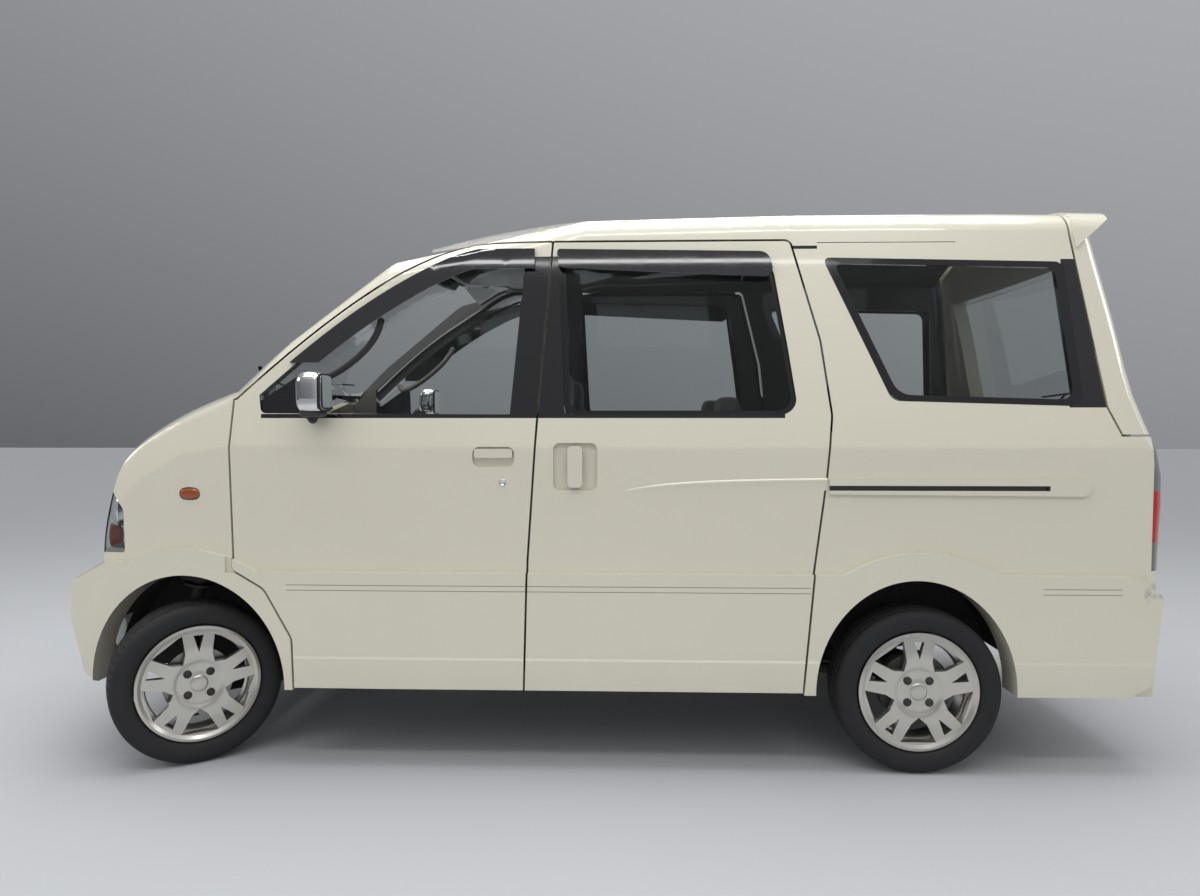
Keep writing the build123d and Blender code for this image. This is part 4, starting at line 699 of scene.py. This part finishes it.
# corners are (x, z), and a border of 0 fills the outline
quarterFrit = {"corners": [(-0.7505, 1.697), (-0.9645, 1.220), (-1.5775, 1.202), (-1.5375, 1.679)],
               "radii": (0.03, 0.05, 0.05, 0.04), "border": 0.035, "thickness": 0.0006}
slidingFrit = {"corners": [(0.1265, 1.715), (0.1005, 1.176), (-0.6625, 1.176), (-0.6305, 1.400), (-0.5825, 1.699)],
               "radii": (0.03, 0.035, 0.06, 0.03, 0.05), "border": 0.020, "thickness": 0.0006}
mirrorSail = {"corners": [(1.182, 1.178), (0.970, 1.178), (0.970, 1.322)], "radii": (0.01, 0.01, 0.01),
              "border": 0, "thickness": 0.004}
quarterFit, slidingFit, frontFit = sideFit("quarter_glass"), sideFit("sliding_glass"), sideFit("door_glass_left")
for side, tag in sides:
    sideTrim(f"quarter_frit_{tag}", quarterFrit, quarterFit, "car_body", side)
    sideTrim(f"mirror_sail_{tag}", mirrorSail, frontFit, f"front_door_{tag}_body", side)
print("stage: window trims")

skins = {}


# first point of a CAD node met from each start in one direction, and nan where there is none
def skinHits(node, starts, direction):
    if node not in skins:
        mesh = nodes[node].data
        skins[node] = BVHTree.FromPolygons([v.co for v in mesh.vertices],
                                           [tuple(p.vertices) for p in mesh.polygons])
    hits = [skins[node].ray_cast(Vector(start), Vector(direction))[0] for start in starts]
    return np.array([(np.nan, np.nan, np.nan) if hit is None else tuple(hit) for hit in hits])


# outer face of a left-hand node at each x and z, looked at from the left; a miss takes the middle value
def skinY(node, x, z):
    starts = np.stack((np.ravel(x), np.full(np.size(x), 3.0), np.ravel(z)), -1)
    level = skinHits(node, starts, (0, -1, 0))[:, 1]
    return np.where(np.isnan(level), np.nanmedian(level), level).reshape(np.shape(x))


# x of a front node at each y and z, looked at from ahead
def skinX(node, y, z):
    starts = np.stack((np.full(np.size(y), 3.0), np.ravel(y), np.ravel(z)), -1)
    return skinHits(node, starts, (-1, 0, 0))[:, 0].reshape(np.shape(y))


# section carried along a path, the radius times cosine and sine of the turn on two directions square to it,
# the second one flattened, and closed at both ends
def tube(name, path, radii, material, body="car_body", around=20, flat=1.0):
    path = np.asarray(path, float)
    tangent = np.gradient(path, axis=0)
    tangent /= np.linalg.norm(tangent, axis=1)[:, None]
    first = np.cross(tangent, (0.0, 0.0, 1.0))
    first /= np.linalg.norm(first, axis=1)[:, None]
    second = np.cross(tangent, first)
    radii = np.broadcast_to(radii, len(path)).astype(float).copy()
    radii[[0, -1]] = 1e-6
    angle = np.linspace(0, 2 * pi, around, endpoint=False)
    ring = np.cos(angle)[None, :, None] * first[:, None] + flat * np.sin(angle)[None, :, None] * second[:, None]
    return gridPiece(name, path[:, None] + radii[:, None, None] * ring, material, body, wrapAcross=True,
                     merge=True)


# Bezier curve on its control points: neighbours are blended by 1 - t and t until one is left
def bezier(points, count=40):
    t = np.linspace(0, 1, count)[:, None]
    level = list(np.asarray(points, float))
    while len(level) > 1:
        level = [(1 - t) * a + t * b for a, b in zip(level, level[1:])]
    return level[0]


def thicken(piece, thickness):
    piece.modifiers.new("wall", "SOLIDIFY").thickness = thickness


# bowls and bulb are turned about the aim; profiles are radius against distance along it
headlampSettings = {
    "place": (1.655, 0.60, 0.850), "aim": (0.93, 0.36, 0.0), "bowlWall": 0.0015,
    "bowl": ((0.004, 0.022, 0.040, 0.053, 0.061, 0.066), (-0.060, -0.056, -0.042, -0.022, 0.0, 0.006)),
    "bulb": ((0, 0.008, 0.009, 0.006, 0), (-0.058, -0.058, -0.03, -0.012, -0.008)),
    "indicator": ((0.003, 0.026, 0.038, 0.040), (-0.035, -0.028, 0.0, 0.004)),
    "indicatorOffset": (0.012, 0.035, -0.088),
}
for side, tag in sides:
    s, flip = headlampSettings, np.array([1, side, 1])
    centre, aim = np.array(s["place"]) * flip, np.array(s["aim"]) * flip
    bowl = turned(f"headlamp_bowl_{tag}", centre, aim, *s["bowl"], chrome)
    bulb = turned(f"headlamp_bulb_{tag}", centre, aim, *s["bulb"], lampClear, around=24)
    indicator = turned(f"indicator_bowl_{tag}", centre + np.array(s["indicatorOffset"]) * flip, aim,
                       *s["indicator"], amber, around=40)
    thicken(bowl, s["bowlWall"])
    thicken(indicator, s["bowlWall"])

# silver lining a set distance behind each headlamp lens, following it round to the side
liningSettings = {"across": (0.388, 0.698, 26), "up": (0.722, 0.936, 14), "behind": 0.072, "inset": 0.988,
                  "atMiss": 1.60, "wall": 0.001}
liningY, liningZ = np.meshgrid(np.linspace(*liningSettings["across"]), np.linspace(*liningSettings["up"]),
                               indexing="ij")
lensX = skinX("headlamps", liningY, liningZ)
lensX = np.where(np.isnan(lensX), liningSettings["atMiss"], lensX)
for side, tag in sides:
    points = np.stack((lensX - liningSettings["behind"], liningY * side * liningSettings["inset"], liningZ), -1)
    lining = gridPiece(f"headlamp_lining_{tag}", points, reflector)
    if side < 0:
        lining.data.flip_normals()
    thicken(lining, liningSettings["wall"])

lockSettings = {"place": (0.303, 0.952), "depth": 0.004, "around": 40,
                "radius": (0, 0.0125, 0.0125, 0.0108, 0.0095, 0.006, 0.0052, 0),
                "along": (0, 0, 0.0048, 0.0064, 0.0056, 0.0056, 0.0040, 0.0040)}
repeaterSettings = {"place": (1.349, 0.913), "lens": (0.066, 0.018, 0.035), "surround": (0.074, 0.010, 0.043),
                    "surroundDepth": 0.001, "power": 2.6}
lockX, lockZ = lockSettings["place"]
lockY = float(skinY("front_door_left", [lockX], [lockZ])[0]) - lockSettings["depth"]
repeaterX, repeaterZ = repeaterSettings["place"]
repeaterY = float(skinY("front_fenders", [repeaterX], [repeaterZ])[0])
for side, tag in sides:
    lock = turned(f"door_lock_{tag}", (lockX, side * lockY, lockZ), (0, side, 0), lockSettings["radius"],
                  lockSettings["along"], chrome, f"front_door_{tag}_body", around=lockSettings["around"])
    lens = blockPiece(f"side_repeater_{tag}", (repeaterX, side * repeaterY, repeaterZ), repeaterSettings["lens"],
                      repeaterSettings["power"], 24, amber)
    surroundY = repeaterY - repeaterSettings["surroundDepth"]
    surround = blockPiece(f"repeater_surround_{tag}", (repeaterX, side * surroundY, repeaterZ),
                          repeaterSettings["surround"], repeaterSettings["power"], 20, rubber)

# a rounded chrome shell that narrows ahead, on a black foot, with the glass looking back
mirrorSettings = {
    "centre": (0.9035, 0.800, 1.246), "shell": (0.086, 0.130, 0.134), "narrowing": 0.16,
    "glass": (0.004, 0.108, 0.110), "glassBehind": 0.0425,
    "rim": (0.0075, 0.120, 0.122), "rimBehind": 0.0400,
    "base": (0.074, 0.100, 0.022), "baseBelow": 0.068,
    "foot": ((0.905, 0.800, 1.172), (0.915, 0.765, 1.160), (0.935, 0.735, 1.172), (0.950, 0.712, 1.200)),
    "footRadius": 0.017, "footFlat": 1.3,
}
for side, tag in sides:
    s, door, flip = mirrorSettings, f"front_door_{tag}_body", np.array([1, side, 1])
    middle = np.array(s["centre"]) * flip
    shell = blockShape(middle, s["shell"], 4.2, 36)
    ahead = np.clip((shell[..., 0] - middle[0]) / (s["shell"][0] / 2), 0, 1)
    shell[..., 1:] = middle[1:] + (shell[..., 1:] - middle[1:]) * (1 - s["narrowing"] * ahead[..., None] ** 2)
    shell = closedPiece(f"mirror_shell_{tag}", shell, chrome, door)
    glass = blockPiece(f"mirror_glass_{tag}", middle - (s["glassBehind"], 0, 0), s["glass"], 5, 20, chrome, door)
    rim = blockPiece(f"mirror_rim_{tag}", middle - (s["rimBehind"], 0, 0), s["rim"], 5, 20, rubber, door)
    base = blockPiece(f"mirror_base_{tag}", middle - (0, 0, s["baseBelow"]), s["base"], 3.5, 24, grainedPlastic,
                      door)
    foot = tube(f"mirror_foot_{tag}", bezier(s["foot"]) * flip, s["footRadius"], grainedPlastic, door,
                flat=s["footFlat"])
    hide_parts(f"door_mirror_{tag}")
print("stage: mirrors and fittings")

# pressing on the sliding doors that runs back into the rail: rows above and below a line, each raised by the
# height times its own swell, and growing out of the door over the first third
pressingSettings = {
    "line": ((-0.080, 0.922), (-0.190, 0.948), (-0.330, 0.957), (-0.520, 0.962), (-0.752, 0.964)), "points": 60,
    "offset": (-0.034, -0.024, -0.014, -0.007, -0.002, 0.001, 0.004, 0.007),
    "swell": (-0.0012, 0.0006, 0.30, 0.70, 0.97, 1.0, 0.55, -0.25), "height": 0.0048, "sunk": 0.0003,
    "growth": 3, "growthPower": 0.7, "startWidth": 0.45,
}
pressingLine = bezier(pressingSettings["line"], pressingSettings["points"])
offset, swell = np.array(pressingSettings["offset"]), np.array(pressingSettings["swell"])
grow = np.linspace(0, 1, pressingSettings["points"])[:, None] * pressingSettings["growth"]
grow = np.clip(grow, 0, 1) ** pressingSettings["growthPower"]
ridgeX = np.repeat(pressingLine[:, :1], len(offset), 1)
startWidth = pressingSettings["startWidth"]
ridgeZ = pressingLine[:, 1:] + offset[None, :] * (startWidth + (1 - startWidth) * grow)
ridgeY = skinY("sliding_door_left", ridgeX, ridgeZ) - pressingSettings["sunk"] \
    + pressingSettings["height"] * grow * swell[None, :]
for side, tag in sides:
    ridge = gridPiece(f"door_pressing_{tag}", np.stack((ridgeX, ridgeY * side, ridgeZ), -1),
                      finishOf[f"sliding_door_{tag}"])
    if side > 0:
        ridge.data.flip_normals()

for side, tag in sides:
    sideTrim(f"sliding_frit_{tag}", slidingFrit, slidingFit, "car_body", side)

# grab handles on the windscreen pillars
grabSettings = {"path": ((1.000, 0.605, 1.330), (0.985, 0.560, 1.240), (0.870, 0.548, 1.355),
                         (0.765, 0.548, 1.400), (0.735, 0.605, 1.510)), "points": 48, "radius": 0.0115}
for side, tag in sides:
    path = bezier(grabSettings["path"], grabSettings["points"]) * (1, side, 1)
    handle = tube(f"grab_handle_{tag}", path, grabSettings["radius"], cabinPlastic)

# wipers: two parked at the foot of the windscreen and one on the tailgate; places are (y, z) on the glass
bladeSettings = {"points": 40, "radius": 0.0072, "flat": 0.55, "offGlass": 0.011}
armSettings = {"radius": (0.0085, 0.0042), "offGlass": 0.016, "offBlade": 0.011, "above": 0.003, "bow": 0.010,
               "pivotBehind": 0.012, "pivotRadius": (0, 0.014, 0.015, 0.012, 0.006, 0),
               "pivotAlong": (0, 0, 0.012, 0.018, 0.021, 0.0215)}
screenSettings = {"windscreen": {"body": "car_body", "sign": 1, "band": (1.24, 1.60)},
                  "tailgate_glass": {"body": "tailgate_body", "sign": -1, "band": (1.20, 1.70)}}
wiperSettings = {
    "near": {"on": "windscreen", "pivot": (0.10, 1.262), "from": (0.030, 1.300), "tip": (0.560, 1.345)},
    "far": {"on": "windscreen", "pivot": (-0.50, 1.262), "from": (-0.560, 1.322), "tip": (-0.020, 1.330)},
    "rear": {"on": "tailgate_glass", "pivot": (0.0, 1.205), "from": (-0.010, 1.250), "tip": (0.330, 1.262)},
}
for name, s in wiperSettings.items():
    sign, body = screenSettings[s["on"]]["sign"], screenSettings[s["on"]]["body"]
    fit = screenFit(s["on"], sign, *screenSettings[s["on"]]["band"])
    count = bladeSettings["points"]
    t = np.linspace(0, 1, count)
    bladeY = s["from"][0] + (s["tip"][0] - s["from"][0]) * t
    bladeZ = s["from"][1] + (s["tip"][1] - s["from"][1]) * t
    blade = np.stack((fit(bladeY, bladeZ) + sign * bladeSettings["offGlass"], bladeY, bladeZ), -1)
    hold = blade[count // 2] + np.array([sign * armSettings["offBlade"], 0, armSettings["above"]])
    start = np.array([float(fit(*s["pivot"])) + sign * armSettings["offGlass"], *s["pivot"]])
    bow = armSettings["bow"] * np.sin(pi * t)
    arm = start + (hold - start) * t[:, None] + np.array([sign, 0, 0]) * bow[:, None]
    armRadius = np.linspace(*armSettings["radius"], count)
    parts = [tube(f"wiper_blade_{name}", blade, bladeSettings["radius"], rubber, body, around=12,
                  flat=bladeSettings["flat"]),
             tube(f"wiper_arm_{name}", arm, armRadius, grainedPlastic, body, around=14),
             turned(f"wiper_pivot_{name}", start - (sign * armSettings["pivotBehind"], 0, 0), (sign, 0, 0.4),
                    armSettings["pivotRadius"], armSettings["pivotAlong"], grainedPlastic, body, around=32)]
    joinPieces(f"wiper_{name}", parts)
print("stage: wipers")

# black seals up the rear edge of each sliding door and along its top
sealSettings = {"lower": (0.30, 1.20, 24), "upper": (1.22, 1.70, 16), "atX": -0.57, "belt": 1.17, "inside": 0.030,
                "leanIn": 0.165, "offEdge": 0.0035, "behind": -1.4, "top": 1.7525, "corner": 0.03, "topTo": 0.13,
                "topPoints": 12, "radius": 0.009}
s = sealSettings
level = np.concatenate((np.linspace(*s["lower"]), np.linspace(*s["upper"])))
depth = skinY("sliding_door_left", np.full(level.shape, s["atX"]), np.where(level > s["belt"], s["belt"], level))
depth = depth - s["inside"] - np.clip(level - s["belt"], 0, 1) * s["leanIn"]
starts = np.stack((np.full(level.shape, s["behind"]), depth, level), -1)
edgeX = skinHits("sliding_door_left", starts, (1, 0, 0))[:, 0]
met = ~np.isnan(edgeX)
for side, tag in sides:
    rearPath = np.stack((edgeX[met] - s["offEdge"], depth[met] * side, level[met]), -1)
    alongTop = np.linspace(rearPath[-1, 0] + s["corner"], s["topTo"], s["topPoints"])
    topPath = alongTop[:, None] * (1, 0, 0) + (0, rearPath[-1, 1], s["top"])
    seal = tube(f"door_seal_{tag}", np.vstack((rearPath, topPath)), s["radius"], rubber, around=10)

# bars in the lower front opening, just under the bumper's skin
barSettings = {"heights": (0.356, 0.383, 0.410, 0.437), "width": 0.70, "points": 40, "sunk": 0.0005,
               "radius": 0.0052, "flat": 0.8}
barY = np.linspace(-barSettings["width"] / 2, barSettings["width"] / 2, barSettings["points"])
for k, height in enumerate(barSettings["heights"]):
    barZ = np.full(barSettings["points"], height)
    path = np.stack((skinX("front_bumper", barY, barZ) - barSettings["sunk"], barY, barZ), -1)
    bar = tube(f"lower_grille_bar_{k}", path, barSettings["radius"], grainedPlastic, around=14,
               flat=barSettings["flat"])

garnishSettings = {"centre": (-1.838, 0.0, 1.085), "size": (0.030, 0.46, 0.050)}
garnish = blockPiece("tailgate_garnish", garnishSettings["centre"], garnishSettings["size"], 5, 28, plainPaint,
                     "tailgate_body")
print("stage: seals, bars and garnish")

cameraSettings = {"place": (-0.1095, 3.520, 1.162), "look": (0.0333, -0.9989, -0.0342), "lens": 25.68}
cameraData = bpy.data.cameras.new("camera")
cameraData.lens = cameraSettings["lens"]
cameraData.sensor_width = 36.0
camera = bpy.data.objects.new("camera", cameraData)
camera.location = cameraSettings["place"]
camera.rotation_euler = Vector(cameraSettings["look"]).to_track_quat("-Z", "Y").to_euler()
bpy.context.scene.collection.objects.link(camera)
bpy.context.scene.camera = camera

floorSettings = {"half": 30.0, "color": (0.47, 0.48, 0.50)}
half = floorSettings["half"]
floorMesh = bpy.data.meshes.new("floor")
floorMesh.from_pydata([(-half, -half, 0), (half, -half, 0), (half, half, 0), (-half, half, 0)], [], [(0, 1, 2, 3)])
floorMesh.materials.append(finish("paleFloor", floorSettings["color"], (1.3, 0.03), roughness=0.75))
floor = bpy.data.objects.new("floor", floorMesh)
bpy.context.scene.collection.objects.link(floor)

# the backdrop that is seen, mirrored and looked at through glass is darker than the light it gives, and goes
# lighter upwards and towards the tail, a painted fall of light across the wall
worldSettings = {"light": (0.97, 0.985, 1.0, 1), "strength": 0.72, "dark": (0.125, 0.130, 0.142, 1),
                 "pale": (0.50, 0.505, 0.52, 1), "towardsTail": -0.35, "from": -0.25, "to": 0.85}
world = bpy.data.worlds.new("studio")
bpy.context.scene.world = world
world.use_nodes = True
studio = world.node_tree
light = studio.nodes["Background"]
light.inputs[0].default_value = worldSettings["light"]
light.inputs[1].default_value = worldSettings["strength"]
place = addNode(studio, "TexCoord", {})
direction = addNode(studio, "SeparateXYZ", {0: place.outputs["Generated"]})
slope = addNode(studio, "Math", {0: direction.outputs[0], 1: worldSettings["towardsTail"],
                2: direction.outputs[2]}, operation="MULTIPLY_ADD")
shade = addNode(studio, "MapRange", {0: slope.outputs[0], 1: worldSettings["from"], 2: worldSettings["to"]})
wallColor = addNode(studio, "Mix", {0: shade.outputs[0], 6: worldSettings["dark"], 7: worldSettings["pale"]},
                    data_type="RGBA")
wall = addNode(studio, "Background", {0: wallColor.outputs[2]})
rays = addNode(studio, "LightPath", {}).outputs
seen = addNode(studio, "Math", {0: rays["Is Camera Ray"], 1: rays["Is Transmission Ray"]}, operation="MAXIMUM")
seenOrMirrored = addNode(studio, "Math", {0: seen.outputs[0], 1: rays["Is Glossy Ray"]}, operation="MAXIMUM")
blend = addNode(studio, "MixShader", {0: seenOrMirrored.outputs[0], 1: light.outputs[0], 2: wall.outputs[0]})
studio.links.new(blend.outputs[0], studio.nodes["World Output"].inputs["Surface"])

lampSettings = {
    "overhead": {"place": (0.0, 0.4, 4.6), "aim": (0, 0.2, 0), "size": (5.6, 2.6), "power": 125},
    "nearStrip": {"place": (0.3, 3.1, 4.1), "aim": (0, 0.5, 1.0), "size": (5.6, 0.22), "power": 44},
    "visorStreak": {"place": (0.3, 4.6, 3.83), "aim": (0.3, 0.64, 1.69), "size": (5.0, 0.03), "power": 3.6},
    "farStrip": {"place": (0.2, -3.1, 4.1), "aim": (0, -0.5, 1.0), "size": (5.6, 0.22), "power": 30},
    "front": {"place": (5.6, 1.4, 3.0), "aim": (1.5, 0, 0.8), "size": (2.4, 1.2), "power": 30},
    "rear": {"place": (-5.6, 0.6, 3.0), "aim": (-1.5, 0, 0.9), "size": (2.4, 1.2), "power": 26},
}
for name, s in lampSettings.items():
    lampData = bpy.data.lights.new(name, "AREA")
    lampData.shape = "RECTANGLE"
    lampData.size, lampData.size_y = s["size"]
    lampData.energy = s["power"]
    lamp = bpy.data.objects.new(name, lampData)
    lamp.location = s["place"]
    lamp.rotation_euler = (Vector(s["aim"]) - Vector(s["place"])).to_track_quat("-Z", "Y").to_euler()
    bpy.context.scene.collection.objects.link(lamp)
bpy.context.scene.view_settings.view_transform = "Standard"
print("stage: camera, floor and light")
